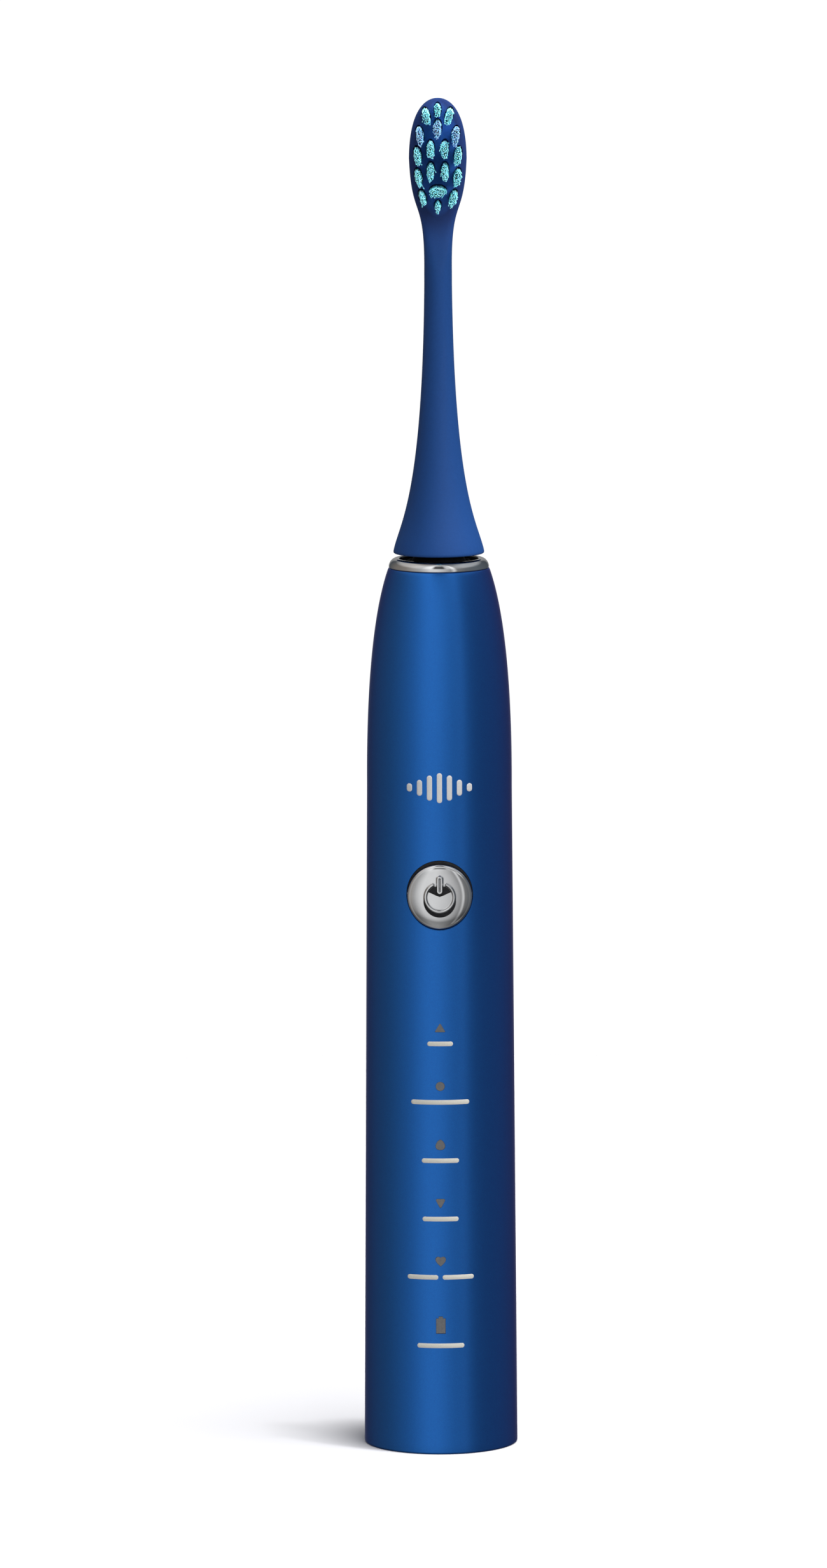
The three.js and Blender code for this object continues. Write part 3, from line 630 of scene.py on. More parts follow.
def arc_outline(centre, radius, count=28):
    cx, cz = centre
    return [(cx + radius * math.cos(a), cz + radius * math.sin(a)) for a in turns(count)]


def mirrored(right):
    """An outline from its right half, which starts and ends on the axis."""
    return right + [(-x, z) for x, z in reversed(right[1:-1])]


def window_outlines():
    drop = bezier([(0, 0.95), (0.45, 0.85), (0.88, 0.2), (0.86, -0.25)], 7)
    drop += bezier([(0.86, -0.25), (0.84, -0.8), (0.45, -0.95), (0, -0.95)], 7)[1:]
    heart = bezier([(0, 0.68), (0.3, 1.0), (0.94, 0.9), (0.94, 0.35)], 7)
    heart += bezier([(0.94, 0.35), (0.94, -0.15), (0.35, -0.6), (0, -0.92)], 7)[1:]
    battery = [(0.85, -1.55), (0.85, 1.2), (0.38, 1.2), (0.38, 1.55)]
    battery = battery + [(-x, z) for x, z in reversed(battery)]
    return [
        corner_polygon([(-1, -0.78), (1, -0.78), (0, 0.88)], 0.3),
        arc_outline((0, 0), 0.82),
        mirrored(drop),
        corner_polygon([(-1, 0.78), (0, -1.1), (1, 0.78)], 0.55),
        mirrored(heart),
        corner_polygon(battery, 0.06),
    ]


OUTLINES = window_outlines()
WINDOW_ZS = [WINDOW_TOP_Z - i * WINDOW_PITCH for i in range(5)] + [CHARGE_Z]


# How far in front of and behind the wall the cutters reach, and the rolled lip of the button's hole.
CUT_FRONT, CUT_BACK, HOLE_LIP = -18.0, -9.0, 0.16
WINDOW_ROOM = 1.04  # how much bigger a window's hole is than what fills it


def handle_shell():
    """The tube, open at both ends, with the hole for the button and the six windows."""
    outside = [(BASE_R - 0.9, 0.0), (BASE_R - RIM_ROUND - 0.1, 0.0)]
    outside += rounded([(BASE_R - 0.8, 0), (BASE_R, 0, RIM_ROUND), (BASE_R, 6)], closed=False, steps=6)[1:-1]
    outside += [(handle_radius(z), z) for z in np.linspace(2, TAPER_Z, 41)]
    outside += bezier(SHOULDER, 56)[1:-1]
    outside += [(TOP_R + 0.02, TOP_Z - 0.16), (TOP_R - 0.04, TOP_Z - 0.05), (TOP_R - 0.16, TOP_Z)]
    inside = [(r - WALL, z) for r, z in reversed(bezier(SHOULDER, 12))]
    inside += [(BASE_R - WALL + 0.02, 8.0), (BASE_R - WALL, 0.3), (BASE_R - WALL + 0.3, 0.0)]
    shell = lathe("handle_body", outside + inside, paint("blue_shell"), 224, sharp=50)
    front, lip = -handle_radius(BUTTON_Z), HOLE_LIP
    mouth = HOLE_R + lip + 0.6
    profile = [(0, CUT_FRONT), (mouth, CUT_FRONT), (mouth, front - 0.5), (HOLE_R + lip, front - 0.02)]
    for a in (math.radians(15 * k) for k in range(1, 7)):
        profile.append((HOLE_R + lip * (1 - math.sin(a)), front + lip * (1 - math.cos(a))))
    profile += [(HOLE_R, CUT_BACK), (0, CUT_BACK)]
    wide, tall = HOLE_OVAL
    rings = []
    for ring in rings_of(profile, 128, "Y", (0, 0, BUTTON_Z)):
        # only the rings at the surface follow its curve
        bends = CUT_FRONT + 1 < ring[0][1] < CUT_BACK - 0.5
        rings.append([
            (x * wide, y + (bend_round_handle(x * wide) if bends else 0), BUTTON_Z + (z - BUTTON_Z) * tall)
            for x, y, z in ring
        ])
    bm = bmesh.new()
    solid_of_rings(bm, rings)
    for outline, z0 in zip(OUTLINES, WINDOW_ZS):
        hole = [(x * WINDOW_ROOM, z0 + z * WINDOW_ROOM) for x, z in outline]
        prism(bm, hole, CUT_FRONT, CUT_BACK)
    return carve(shell, bm)


place(handle_shell(), "handle", "blue_shell", "handle_shell")


def light_guide():
    """The clear bar and the bosses that fill the windows, following the handle's surface."""
    bm = bmesh.new()
    bmesh.ops.create_cube(bm, size=1)
    z0, z1 = CHARGE_Z - 3.6, WINDOW_TOP_Z + 3
    scale = Matrix.Diagonal((5.2, 1.2, z1 - z0, 1))
    bmesh.ops.transform(bm, matrix=Matrix.Translation((0, -9.3, (z0 + z1) / 2)) @ scale, verts=bm.verts)
    bmesh.ops.bevel(bm, geom=bm.edges[:], offset=0.25, segments=2, affect="EDGES")
    for outline, z in zip(OUTLINES, WINDOW_ZS):
        r = handle_radius(z) - 0.025
        prism(bm, [(x, z + h) for x, h in outline], lambda x, r=r: -math.sqrt(r * r - x * x), -9.85)
    return object_of(bm, "mode_windows", paint("window_grey"), 30)


place(light_guide(), "handle", "window_grey", "light_guide")

# ---------------------------------------------------------------- printing


def printed_strip(bm, x0, x1, middle, half_height, corner, lift=0.035):
    """A raised bar with round ends on the handle's surface, between x0 and x1 and centred on middle."""
    columns = max(6, int((x1 - x0) / 0.12))
    sections = []
    for i in range(columns + 1):
        # finer steps near the two rounded ends
        t = 0.5 - 0.5 * math.cos(math.pi * i / columns)
        x = lerp(x0, x1, t)
        edge = min(x - x0, x1 - x)
        inset = corner - math.sqrt(max(0, corner**2 - (corner - edge) ** 2)) if edge < corner else 0
        h = max(half_height - inset, 0.01)
        e = min(0.05, 0.4 * h)
        sections.append([
            on_handle(x, middle - h, -0.05),
            on_handle(x, middle - h, lift * 0.5),
            on_handle(x, middle - h + e, lift),
            on_handle(x, middle + h - e, lift),
            on_handle(x, middle + h, lift * 0.5),
            on_handle(x, middle + h, -0.05),
        ])
    solid_of_sections(bm, sections)


# Under each window: how far down, and the widths of the blank bars that stand for its printing.
LABELS = [(2.95, [4.7]), (2.95, [10.6]), (2.95, [6.8]), (2.95, [6.6]), (2.95, [5.6, 5.7]), (3.85, [8.6])]
LABEL_GAP = 0.8


def label_bars():
    bm = bmesh.new()
    for (drop, widths), z in zip(LABELS, WINDOW_ZS):
        x = -(sum(widths) + LABEL_GAP * (len(widths) - 1)) / 2
        for width in widths:
            printed_strip(bm, x, x + width, z - drop, 0.42, 0.4)
            x += width + LABEL_GAP
    return object_of(bm, "label_bars", pale, 40)


def upright_bar(bm, x0, z0, half_width, half_height, lift=0.05):
    """A raised upright capsule on the handle's surface."""
    outline = []
    for side in (1, -1):
        for k in range(13):
            a = math.pi * k / 12 if side > 0 else math.pi + math.pi * k / 12
            z = side * (half_height - half_width) + half_width * math.sin(a)
            outline.append((half_width * math.cos(a), z))
    sections = []
    for shrink, out in ((0, -0.06), (0, lift * 0.5), (0.05, lift), (half_width * 0.6, lift + 0.01)):
        k = 1 - shrink / half_width
        sections.append([
            on_handle(x0 + x * k, z0 + z * (half_height - shrink) / half_height, out) for x, z in outline
        ])
    solid_of_sections(bm, sections)


WAVE_Z, WAVE_WIDTH, WAVE_PITCH = 123.2, 0.95, 1.82
WAVE_HEIGHTS = [1.5, 2.9, 4.6, 5.5, 4.6, 2.9, 1.5]


def wave_mark():
    """A plain ornament of upright bars, like a sound wave."""
    bm = bmesh.new()
    for i, height in enumerate(WAVE_HEIGHTS):
        x = (i - (len(WAVE_HEIGHTS) - 1) / 2) * WAVE_PITCH
        upright_bar(bm, x, WAVE_Z, WAVE_WIDTH / 2, height / 2)
    return object_of(bm, "wave_mark", silver, 40)


place(label_bars(), "handle", None)
place(wave_mark(), "handle", None)

# ---------------------------------------------------------------- power button


def segment_distance(x, z, ax, az, bx, bz):
    dx, dz = bx - ax, bz - az
    t = min(1, max(0, ((x - ax) * dx + (z - az) * dz) / (dx * dx + dz * dz)))
    return math.hypot(x - ax - t * dx, z - az - t * dz)


# The power symbol on the button: a ring that is open at the top, an upright bar drawn as an outline, and a
# ramp that fills a crescent under the ring.
RING_R, RELIEF_HALF, RELIEF_SLOPE, RELIEF_HEIGHT = 2.62, 0.09, 0.28, 0.36
RING_GAP = math.radians(29)
BAR_LOW, BAR_HIGH, BAR_R = 1.15, 3.35, 0.33
RAMP_R, RAMP_DROP, RAMP_SHARE = 2.95, 0.75, 0.85


def emboss(x, z):
    """The raised power symbol's height at a point of the button's face."""
    rho = math.hypot(x, z)
    angle = math.atan2(x, z)  # 0 at the top
    if abs(angle) > RING_GAP:
        ring = abs(rho - RING_R)
    else:
        ring = math.hypot(abs(x) - RING_R * math.sin(RING_GAP), z - RING_R * math.cos(RING_GAP))
    bar = abs(segment_distance(x, z, 0, BAR_LOW, 0, BAR_HIGH) - BAR_R)
    height = 0
    for distance in (ring, bar):
        height = max(height, RELIEF_HEIGHT * (1 - smoothstep(distance - RELIEF_HALF, 0, RELIEF_SLOPE)))
    outer = RING_R + RELIEF_HALF + 0.05
    inside = RAMP_R - math.hypot(x, z + RAMP_DROP)
    if inside > 0 and rho > outer - 0.1:
        t = inside / (inside + max(0.0, rho - outer) + 1e-6)
        height = max(height, RELIEF_HEIGHT * RAMP_SHARE * t)
    return height


def on_button(x, z, out=0.0):
    """A point out from the button's face, which is nearly flat and falls off towards the edge."""
    r = math.hypot(x / BUTTON_OVAL[0], z / BUTTON_OVAL[1]) / (BUTTON_R - BUTTON_ROUND)
    y = BUTTON_BEND * bend_round_handle(x) - handle_radius(BUTTON_Z) - BUTTON_PROUD
    return (x, y - BUTTON_DOME * (1 - r**6) - out, BUTTON_Z + z - BUTTON_DROP)


def power_button():
    bm = bmesh.new()
    face = -handle_radius(BUTTON_Z) - BUTTON_PROUD
    segments, count = 288, 92
    flat_r = BUTTON_R - BUTTON_ROUND
    rows = [(flat_r * i / count, "face") for i in range(count + 1)]
    for k in range(1, 7):
        a = math.radians(15 * k)
        rows.append((flat_r + BUTTON_ROUND * math.sin(a), face + BUTTON_ROUND * (1 - math.cos(a))))
    rows += [(BUTTON_R, -10.6), (BUTTON_R, FLANGE_FRONT), (FLANGE_R, FLANGE_FRONT), (FLANGE_R, FLANGE_BACK)]
    rows += [(1.5, FLANGE_BACK), (1.5, STEM_BACK), (0, STEM_BACK)]
    rings = []
    for r, h in rows:
        ring = []
        for a in turns(segments)[: segments if r > AXIS_R else 1]:
            x, z = r * math.cos(a) * BUTTON_OVAL[0], r * math.sin(a) * BUTTON_OVAL[1]
            if h == "face":
                ring.append(on_button(x, z, emboss(x, z)))
            else:
                y = h + (BUTTON_BEND * bend_round_handle(x) if h < -10.0 else 0)
                ring.append((x, y, BUTTON_Z + z - BUTTON_DROP))
        rings.append(ring)
    solid_of_rings(bm, rings)
    return object_of(bm, "button_chrome", paint("chrome_trim"), 55)


def painted_reflection_outline():
    """The patch of painted dark reflection between the ring's ends, the bar and the bright disc, from its right
    half.
    """
    low = [(0.0, 0.1), (0.6, 0.3), (1.2, 0.58), (1.7, 0.82), (2.1, 0.95)]
    high = [(2.28 * math.sin(a), 2.28 * math.cos(a)) for a in np.radians([60, 50, 40, 31])]
    high += [(0.9, 2.05), (0.5, 1.95), (0.0, 1.9)]
    return mirrored(low + high)


def button_painted_reflections():
    """A black piece that paints the button's dark reflections: at the top inside the ring, and in a crescent
    below it.
    """
    bm = bmesh.new()
    middle, outline = 1.25, painted_reflection_outline()
    rings = []
    for share, out in ((0, 0.04), (0.3, 0.04), (0.6, 0.04), (0.95, 0.035), (1.0, 0.0), (1.0, -0.2), (0, -0.2)):
        points = outline if share else [(0, middle)]
        rings.append([on_button(x * share, middle + (z - middle) * share, out) for x, z in points])
    solid_of_rings(bm, rings)
    inner, reach, across = 2.84, 2.946, 8
    sections = []
    for a in np.radians(np.linspace(-179, -1, 91)):
        edge = -RAMP_DROP * math.sin(a) + math.sqrt(reach**2 - (RAMP_DROP * math.cos(a)) ** 2)
        outer = max(inner + 0.03, edge)
        top = []
        for k in range(across + 1):
            r = lerp(inner, outer, k / across)
            x, z = r * math.cos(a), r * math.sin(a)
            top.append(on_button(x, z, emboss(x, z) + (0.03 if 0 < k < across else 0.0)))
        ends = [on_button(r * math.cos(a), r * math.sin(a), -0.15) for r in (outer, inner)]
        sections.append(top + ends)
    solid_of_sections(bm, sections)
    return object_of(bm, "button_painted_reflections", paint("black_rubber"), 60)


place(power_button(), "power_button", "chrome_trim", "power_button")
# a black piece paints the dark reflections round the power symbol
place(button_painted_reflections(), "power_button", "black_rubber")


def button_gap_shadow():
    """A black ring in the gap round the button, a little wider at the top: a painted shadow that darkens the
    gap.
    """
    bm = bmesh.new()
    inner, outer = BUTTON_R + 0.03, HOLE_R - 0.012
    rings = []
    for out, depth in ((0, 0.55), (0, 0.16), (0.5, 0.10), (1, 0.16), (1, 0.55)):
        ring = []
        for a in turns(160):
            x = lerp(inner * BUTTON_OVAL[0], outer * HOLE_OVAL[0], out) * math.cos(a)
            z = lerp(inner * BUTTON_OVAL[1], outer * HOLE_OVAL[1], out) * math.sin(a)
            z += BUTTON_Z - BUTTON_DROP * (1 - out)
            ring.append((x, -handle_radius(BUTTON_Z) + bend_round_handle(x) + depth, z))
        rings.append(ring)
    solid_of_rings(bm, rings, closed=True)
    return object_of(bm, "button_gap_shadow", paint("black_rubber"), 60)


# a black ring paints the shadow in the gap round the button
place(button_gap_shadow(), "handle", "black_rubber")

BOOT_FRONT, BOOT_FOOT, BOOT_R, BOOT_WALL = -8.4, -5.65, 7.3, 0.6


def switch_boot():
    """The silicone cover over the switch: a pad under the button's stem, a thin web, and a skirt."""
    web, inside = BOOT_FRONT + 0.15, BOOT_FRONT + 0.4
    points = [
        (0, BOOT_FRONT), (2.3, BOOT_FRONT, 0.12), (2.6, web, 0.12), (4.9, web, 0.12), (5.2, BOOT_FRONT, 0.12),
        (BOOT_R, BOOT_FRONT, 0.35), (BOOT_R, BOOT_FOOT), (BOOT_R - BOOT_WALL, BOOT_FOOT),
        (BOOT_R - BOOT_WALL, inside, 0.3), (0, inside),
    ]
    profile = rounded(points, closed=False)
    return lathe("switch_boot", profile, paint("silicone"), 96, "Y", (0, 0, BUTTON_Z), sharp=40)


boot = place(switch_boot(), "handle", "silicone", "button_boot")
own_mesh(boot)

# ---------------------------------------------------------------- collar and seal


def collar():
    z, top = COLLAR_Z, COLLAR_Z + COLLAR_HEIGHT
    crown = bezier([(TOP_R - 0.06, z + 0.3), (TOP_R - 0.12, z + 0.95), (8.55, top), (7.85, top)], 16)
    profile = [(COLLAR_INNER, z - 3), (COLLAR_SPIGOT, z - 3), (COLLAR_SPIGOT, z), (TOP_R - 0.16, z)]
    profile += [(TOP_R - 0.09, z + 0.04), (TOP_R - 0.06, z + 0.14)] + crown
    lip = [(7.6, top), (COLLAR_INNER, top, 0.3), (COLLAR_INNER, top - 0.8)]
    profile += rounded(lip, closed=False, steps=5)[1:]
    return lathe("collar_chrome", profile, paint("chrome_trim"), 256, sharp=60)


def seal():
    points = [
        (4.2, 160.6), (7.0, 160.6), (7.0, 163.1, 0.2), (6.5, 163.4, 0.2), (6.1, 163.0, 0.2), (5.6, 163.6, 0.25),
        (5.1, 163.2, 0.2), (4.6, 164.1, 0.3), (3.6, 165.0, 0.4), (2.7, 166.4, 0.3), (2.5, 167.6, 0.15),
        (1.8, 167.6, 0.1), (1.8, 165.8), (3.0, 163.6), (4.2, 162.4),
    ]
    return lathe("shaft_boot", rounded(points), paint("black_rubber"), 96, sharp=50)


place(collar(), "handle", "chrome_trim", "collar_ring")
place(seal(), "handle", "black_rubber", "shaft_seal")

# ---------------------------------------------------------------- base


def base_plug():
    cup = 5.9
    points = [
        (0, 10.5), (4.6, 10.5, 0.5), (4.6, 0.9, 0), (5.1, 0.4, 0.3), (7.4, 0.4, 0.15), (7.6, 0.75, 0.1),
        (9.6, 0.75, 0.1), (9.8, 0.4, 0.15), (11.9, 0.4, 0.3), (12.2, 0.7, 0.2), (12.2, 3.6), (11.2, 3.6),
        (11.2, 5.0), (12.2, 5.0), (12.2, 8.0, 0.2), (10.2, 8.0, 0.2), (10.2, 2.2, 0.3), (cup, 2.2, 0.3),
        (cup, 11.8, 0.5), (0, 11.8),
    ]
    return lathe("base_plug", rounded(points, closed=False), paint("blue_shell"), 128, sharp=40)


place(base_plug(), "handle", "blue_shell", "base_cap")

# ---------------------------------------------------------------- brush head


def head_outline():
    """The head's half width by height, from the hem of the skirt to the tip."""
    z = HEAD_Z
    hem = [(SKIRT_R - 0.35, z), (SKIRT_R - 0.12, z + 0.03), (SKIRT_R - 0.02, z + 0.14)]
    neck = bezier([(SKIRT_R, z + 0.35), (7.26, z + 5.5), (2.94, z + 9.9), (NECK_R, z + 49.2)], 60)
    flare = bezier([(NECK_R, z + 51.2), (2.35, z + 65.7), (4.79, z + 60.6), (PLATE_HALF_WIDTH, z + 72.2)], 36)
    tip = bezier([(PLATE_HALF_WIDTH, z + 72.2), (5.14, HEAD_TIP + 0.1), (0.6, HEAD_TIP), (0, HEAD_TIP)], 40)
    return hem + neck + flare + [(w, h) for w, h in tip[1:] if h < HEAD_TIP - 0.004] + [(0, HEAD_TIP)]


def signed_power(value, power):
    return math.copysign(abs(value) ** power, value)


def head_point(half_width, z, angle):
    """The same section rule as the CAD head, with a slight crease round the tufted face."""
    along = z - HEAD_Z
    depth = half_width * (1 + 0.08 * smoothstep(along, 26, 48))
    plate = smoothstep(along, 50, 62)
    front = lerp(depth, -PLATE_FRONT, plate)
    back = lerp(depth, PLATE_BACK, smoothstep(along, 50, 66))
    rounding = max(0.0, (z - HEAD_TIP + 2.6) / 2.6)
    shrink = math.sqrt(max(0.0, 1 - rounding * rounding))
    c, s = math.cos(angle), math.sin(angle)
    power = 2 / (lerp(2, 5, plate) if s < 0 else lerp(2, 2.6, plate))
    reach = abs(s) ** power
    middle = HEAD_MIDDLE_Y * plate
    y = -front * reach if s < 0 else back * reach
    return half_width * signed_power(c, power), middle + (y - middle) * shrink, z


def head_shell():
    """The head's outside, cut by the stepped bore from below and by the tufts' sockets."""
    bm = bmesh.new()
    rings = [[(0, 0, HEAD_Z)]]
    for half_width, z in head_outline():
        if half_width < AXIS_R:
            rings.append([(0, HEAD_MIDDLE_Y, z)])
        else:
            rings.append([head_point(half_width, z, a) for a in turns(144)])
    solid_of_rings(bm, rings)
    shell = object_of(bm, "head_body", paint("blue_head"), 60)
    bm = bmesh.new()
    z = HEAD_Z
    bore = [
        (0, z - 1), (SKIRT_R - 0.95, z - 1), (SKIRT_R - 0.95, z - 0.02), (SKIRT_R - 1.15, z + 0.25),
        (5.5, z + 4.6), (4.75, z + 4.6), (4.75, z + 6.3), (2.8, z + 6.3), (2.8, z + 18.5), (0, z + 18.5),
    ]
    solid_of_rings(bm, rings_of(bore, 96))
    for x, below, width, height, lean, *_ in TUFTS:
        a = math.radians(lean)
        points = []
        for u, v in arc_outline((0, 0), 1.0, 30):
            px, pz = u * (width / 2 + 0.15), v * (height / 2 + 0.20) + 0.05
            along = HEAD_TIP - below - px * math.sin(a) + pz * math.cos(a)
            points.append((x + px * math.cos(a) + pz * math.sin(a), along))
        prism(bm, points, -12, TUFT_ROOT_Y + 0.05)
    return carve(shell, bm)


place(head_shell(), "brush_head", "blue_head", "head_shell")


FILAMENT_PITCH, FILAMENT_R, FILAMENT_SIDES = 0.185, 0.088, 6
# Along a filament: the share of its length, and the share of its radius there. It ends in a point.
FILAMENT_RINGS = [(0.0, 1.0), (0.3, 1.0), (0.6, 1.0), (0.85, 1.0), (0.955, 0.96), (0.988, 0.68)]
ROOT_FILL = 0.93  # the share of the socket that the filaments fill
RAGGED = [(0.07, 2), (0.09, 3), (0.06, 5)]  # waves round a tuft's trimmed edge: how deep, how many


def packed_spots(width, height):
    """Places for filaments in an oval, in close rows, as shares of its half width and half height."""
    rows, columns = (int(size / FILAMENT_PITCH) + 2 for size in (height, width))
    spots = []
    for j in range(-rows, rows + 1):
        for i in range(-columns, columns + 1):
            u = (i + 0.5 * (j % 2)) * FILAMENT_PITCH / (width / 2 - FILAMENT_R)
            v = j * FILAMENT_PITCH * 0.866 / (height / 2 - FILAMENT_R)
            if abs(u) ** 2.4 + abs(v) ** 2.4 <= 1:
                spots.append((u, v))
    return spots


def add_filament(verts, faces, root, tip, tip_y, bow):
    """One filament, from its root in x and z to its trimmed tip, bowed a little to one side."""
    start, sides = len(verts), FILAMENT_SIDES
    for t, w in FILAMENT_RINGS:
        k = t**1.6
        y = lerp(TUFT_ROOT_Y, tip_y, t)
        x, z = (lerp(root[axis], tip[axis], k) + bow[axis] * 4 * t * (1 - t) for axis in (0, 1))
        for b in turns(sides):
            verts.append((x + FILAMENT_R * w * math.cos(b), y, z + FILAMENT_R * w * math.sin(b)))
    verts.append((tip[0], tip_y, tip[1]))
    last = start + (len(FILAMENT_RINGS) - 1) * sides
    for p in range(start, last, sides):
        for n in range(sides):
            m = (n + 1) % sides
            faces.append((p + n, p + m, p + sides + m, p + sides + n))
    for n in range(sides):
        faces.append((last + n, last + (n + 1) % sides, len(verts) - 1))
    faces.append(tuple(start + n for n in reversed(range(sides))))


def tuft(index, spec):
    """A bundle of nylon filaments, close together in the socket and a little splayed at the trimmed tips."""
    root_x, root_below, root_w, root_h, lean, tip_x, tip_below, tip_w, tip_h, hue = spec
    rng = random.Random(100 + index)
    cos_a, sin_a = math.cos(math.radians(lean)), math.sin(math.radians(lean))
    verts, faces = [], []
    phases = [rng.uniform(0, 2 * math.pi) for _ in RAGGED]
    for u, v in packed_spots(root_w, root_h):
        edge = min(1.0, math.hypot(u, v))
        turn = math.atan2(v, u)
        ragged = 1 + sum(depth * math.sin(n * turn + p) for (depth, n), p in zip(RAGGED, phases))
        stray = rng.random() < 0.07 * edge
        wild = 0.30 if stray else 0.075
        tip_y = TUFT_TIP_Y + rng.gauss(0, 0.07) + 0.55 * edge**4 * rng.random() + (0.5 if stray else 0)
        ru, rv = u * root_w / 2 * ROOT_FILL, v * root_h / 2 * ROOT_FILL
        root = (root_x + ru * cos_a + rv * sin_a, HEAD_TIP - root_below - ru * sin_a + rv * cos_a)
        du, dv = u * (tip_w / 2 - 0.15) * ragged, v * (tip_h / 2 - 0.07) * ragged
        tip = (tip_x + du * cos_a + dv * sin_a + rng.gauss(0, wild),
               HEAD_TIP - tip_below - du * sin_a + dv * cos_a + rng.gauss(0, wild))
        bow = (rng.gauss(0, 0.05), rng.gauss(0, 0.05))
        add_filament(verts, faces, root, tip, tip_y, bow)
    mesh = bpy.data.meshes.new(f"bristles_{index:02d}")
    mesh.from_pydata([tuple(c * MM for c in p) for p in verts], [], faces)
    mesh.polygons.foreach_set("use_smooth", [True] * len(mesh.polygons))
    mesh.update()
    slot = "bristle_" + hue
    mesh.materials.append(paint(slot))
    return place(linked(mesh.name, mesh), "brush_head", slot, f"tuft_{index:02d}")


for number, spec in enumerate(TUFTS, 1):
    tuft(number, spec)

# ---------------------------------------------------------------- stage, light and camera

CAMERA_DISTANCE, CAMERA_HEIGHT, LENS = 2000.0, 392.0, 253.0
CAMERA_PITCH, CAMERA_YAW, CAMERA_ROLL = 7.683, 0.136, -0.17  # degrees
FLOOR_R = 450


def camera():
    data = bpy.data.cameras.new("camera")
    data.lens, data.sensor_width = LENS, 36
    data.clip_start, data.clip_end = 0.05, 20
    obj = linked("camera", data)
    obj.location = (0, -CAMERA_DISTANCE * MM, CAMERA_HEIGHT * MM)
    level = Euler((math.radians(90 - CAMERA_PITCH), 0, math.radians(CAMERA_YAW))).to_matrix()
    obj.rotation_euler = (level @ Matrix.Rotation(math.radians(CAMERA_ROLL), 3, "Z")).to_euler()
    bpy.context.scene.camera = obj


def floor():
    bm = bmesh.new()
    bmesh.ops.create_circle(bm, cap_ends=True, segments=96, radius=FLOOR_R)
    p = Paint("floor_pale", (0.362, 0.361, 0.374), 0.85, Specular_IOR_Level=0.0)
    p.mottle(p.noise(90, 2), (0.372, 0.371, 0.384))
    obj = object_of(bm, "floor", p.material, recalc=False)
    obj.visible_glossy = False


def softbox(name, size, power, location, turn):
    """A rectangular area light, which neither the camera nor a reflection shows."""
    data = bpy.data.lights.new(name, "AREA")
    data.shape = "RECTANGLE"
    data.size, data.size_y = size[0] * MM, size[1] * MM
    data.energy = power
    obj = linked(name, data)
    obj.location = [c * MM for c in location]
    obj.rotation_euler = turn
    obj.visible_glossy = False
    obj.visible_camera = False


def aimed_box(name, location, target, size, power):
    aim = Vector(target) - Vector(location)
    softbox(name, size, power, location, aim.to_track_quat("-Z", "Y").to_euler())


def top_strip(height, azimuth, near, far, width, power):
    """A long narrow softbox overhead that runs from near to far millimetres out along the azimuth."""
    out = (near + far) / 2
    location = (out * math.cos(azimuth), out * math.sin(azimuth), height)
    softbox("top_strip", (far - near, width), power, location, (0, 0, azimuth))


def by_elevation(stops):
    """Ramp stops for half the height of a direction plus a half, from stops in degrees of elevation."""
    return [(0.5 + 0.5 * math.sin(math.radians(e)), v) for e, v in stops]


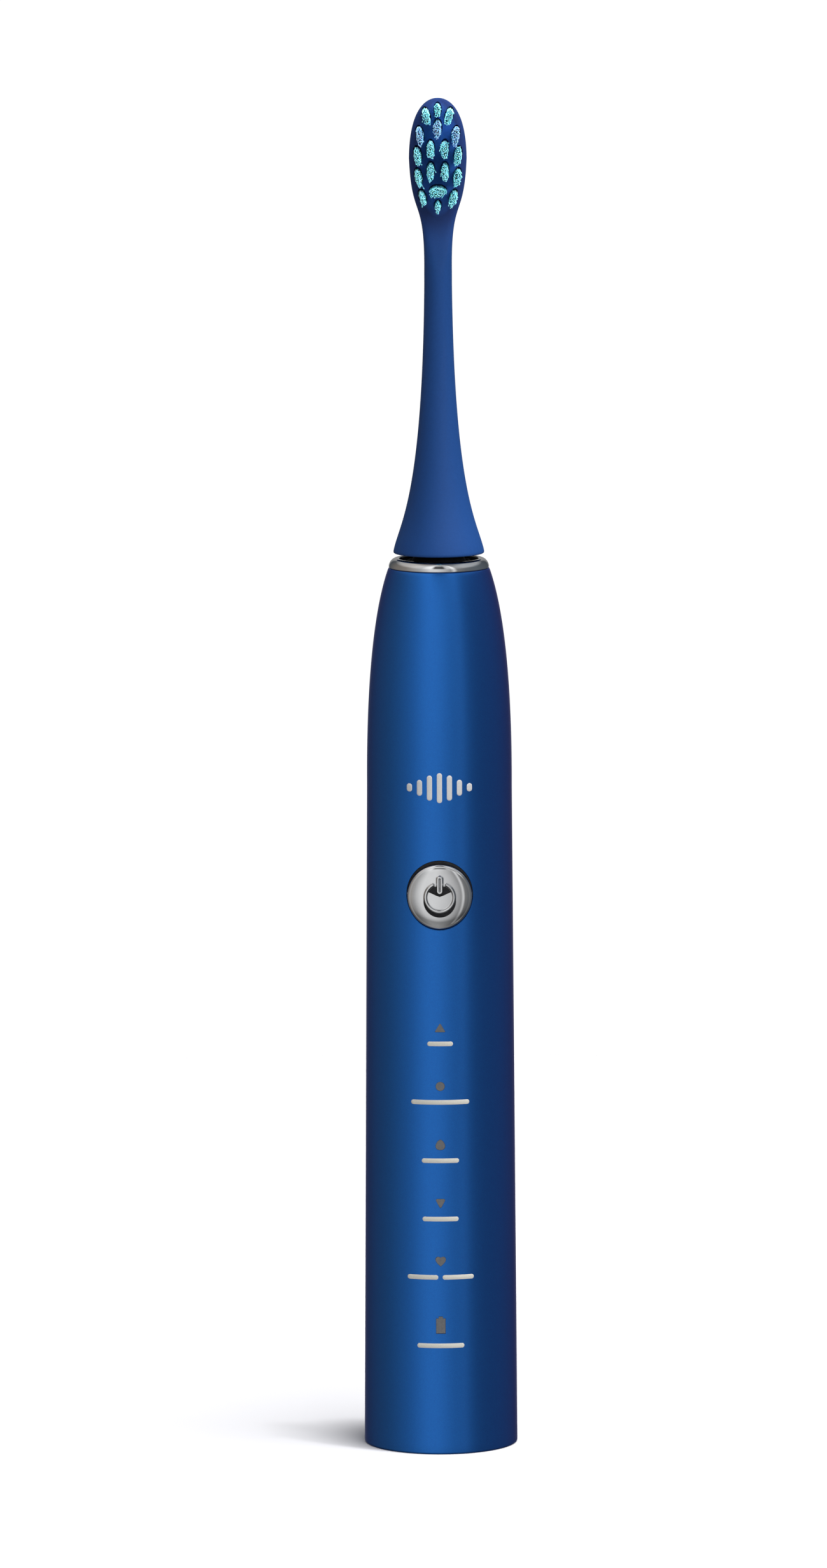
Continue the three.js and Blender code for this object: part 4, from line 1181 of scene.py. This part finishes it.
def studio():
    """White to the camera; to everything else a room of soft panels given by direction."""
    world = bpy.data.worlds.new("studio")
    bpy.context.scene.world = world
    world.use_nodes = True
    w = Nodes(world.node_tree)
    w.tree.nodes.clear()

    x, y, z = w.split(w.node("ShaderNodeTexCoord").outputs["Generated"])
    # 0 in front of the brush, positive to its right
    azimuth = w.maths("ARCTAN2", x, w.maths("MULTIPLY", y, -1.0))
    turn = w.maths("ADD", w.maths("DIVIDE", azimuth, 2 * math.pi), 0.5)
    near = w.maths("DIVIDE", w.maths("ABSOLUTE", azimuth), math.radians(180))
    height = w.maths("ADD", w.maths("MULTIPLY", z, 0.5), 0.5)
    colours = [(d / 360 + 0.5, (v * (1 - COOL * c), v * (1 - 0.5 * COOL * c), v)) for d, v, c in AROUND]
    around = w.ramp(turn, *colours)
    above = w.ramp(height, *by_elevation(ABOVE))
    raised = w.ramp(height, *by_elevation(RAISED))
    patch = w.ramp(near, *[(d / 180, v) for d, v in PATCHES])
    notch = w.ramp(near, *[(d / 180, v) for d, v in NOTCH])
    above = w.maths("MULTIPLY", above, w.maths("SUBTRACT", 1.0, w.maths("MULTIPLY", raised, notch)))
    extra = w.maths("MULTIPLY", w.maths("MULTIPLY", raised, patch), PATCH_LIGHT)

    path = w.node("ShaderNodeLightPath").outputs
    room = w.fed("ShaderNodeBackground", around, w.maths("MULTIPLY", above, PANEL))
    ambient = w.fed("ShaderNodeBackground", None, AMBIENT)
    backdrop = w.fed("ShaderNodeBackground", (1.0, 1.0, 1.0, 1.0), BACKDROP)
    patches = w.fed("ShaderNodeBackground", None, w.maths("MULTIPLY", extra, path["Is Glossy Ray"]))
    soft = w.fed("ShaderNodeMixShader", path["Is Glossy Ray"], ambient.outputs[0], room.outputs[0])
    total = w.fed("ShaderNodeAddShader", soft.outputs[0], patches.outputs[0])
    mix = w.fed("ShaderNodeMixShader", path["Is Camera Ray"], total.outputs[0], backdrop.outputs[0])
    w.fed("ShaderNodeOutputWorld", mix.outputs[0])


# What polished surfaces see. By azimuth in degrees from straight ahead: the radiance, and how cool it
# is. Then the share of it by elevation in degrees. What matt surfaces see is an even AMBIENT, and what
# the camera sees is the BACKDROP.
PANEL, AMBIENT, BACKDROP = 1.15, 0.56, 1.05
COOL = 0.25
AROUND = [
    (-180, 0.30, 0), (-166, 0.30, 0), (-156, 0.10, 1), (-115, 0.19, -1), (-85, 0.25, -1), (-65, 0.38, -0.5),
    (-45, 0.52, 0), (-30, 0.78, 0), (-20, 0.98, 0), (-5, 0.96, 0), (8, 0.76, 0), (20, 0.54, 0), (28, 0.40, 0),
    (36, 0.95, 0), (44, 0.26, 0), (65, 0.20, 0.5), (100, 0.19, 1), (156, 0.10, 1), (166, 0.30, 0),
    (180, 0.30, 0),
]
ABOVE = [(-90, 0.35), (-52, 0.4), (-30, 0.35), (-20, 0.75), (-8, 1.0), (16, 1.0), (40, 1.2), (60, 1.3),
         (90, 0.7)]
# Two bright patches and a dark gap between them, above the horizon and by the size of the azimuth.
RAISED = [(25, 0.0), (37, 1.0), (58, 1.0), (72, 0.3)]
PATCHES = [(0, 0.0), (17, 0.0), (24, 1.0), (36, 1.0), (46, 0.5), (70, 1.0), (180, 1.0)]
NOTCH = [(0, 0.9), (12, 0.9), (19, 0.0)]
PATCH_LIGHT = 0.5

camera()
floor()
studio()
aimed_box("key", (2000, -2000, 2828), (0, 0, 100), (5600, 5600), 480.0)
top_strip(3000, math.radians(-28), -20, 380, 40, 124.0)

view = bpy.context.scene.view_settings
view.view_transform = "Standard"
view.look = "None"
view.exposure = 0.0
view.gamma = 1.0
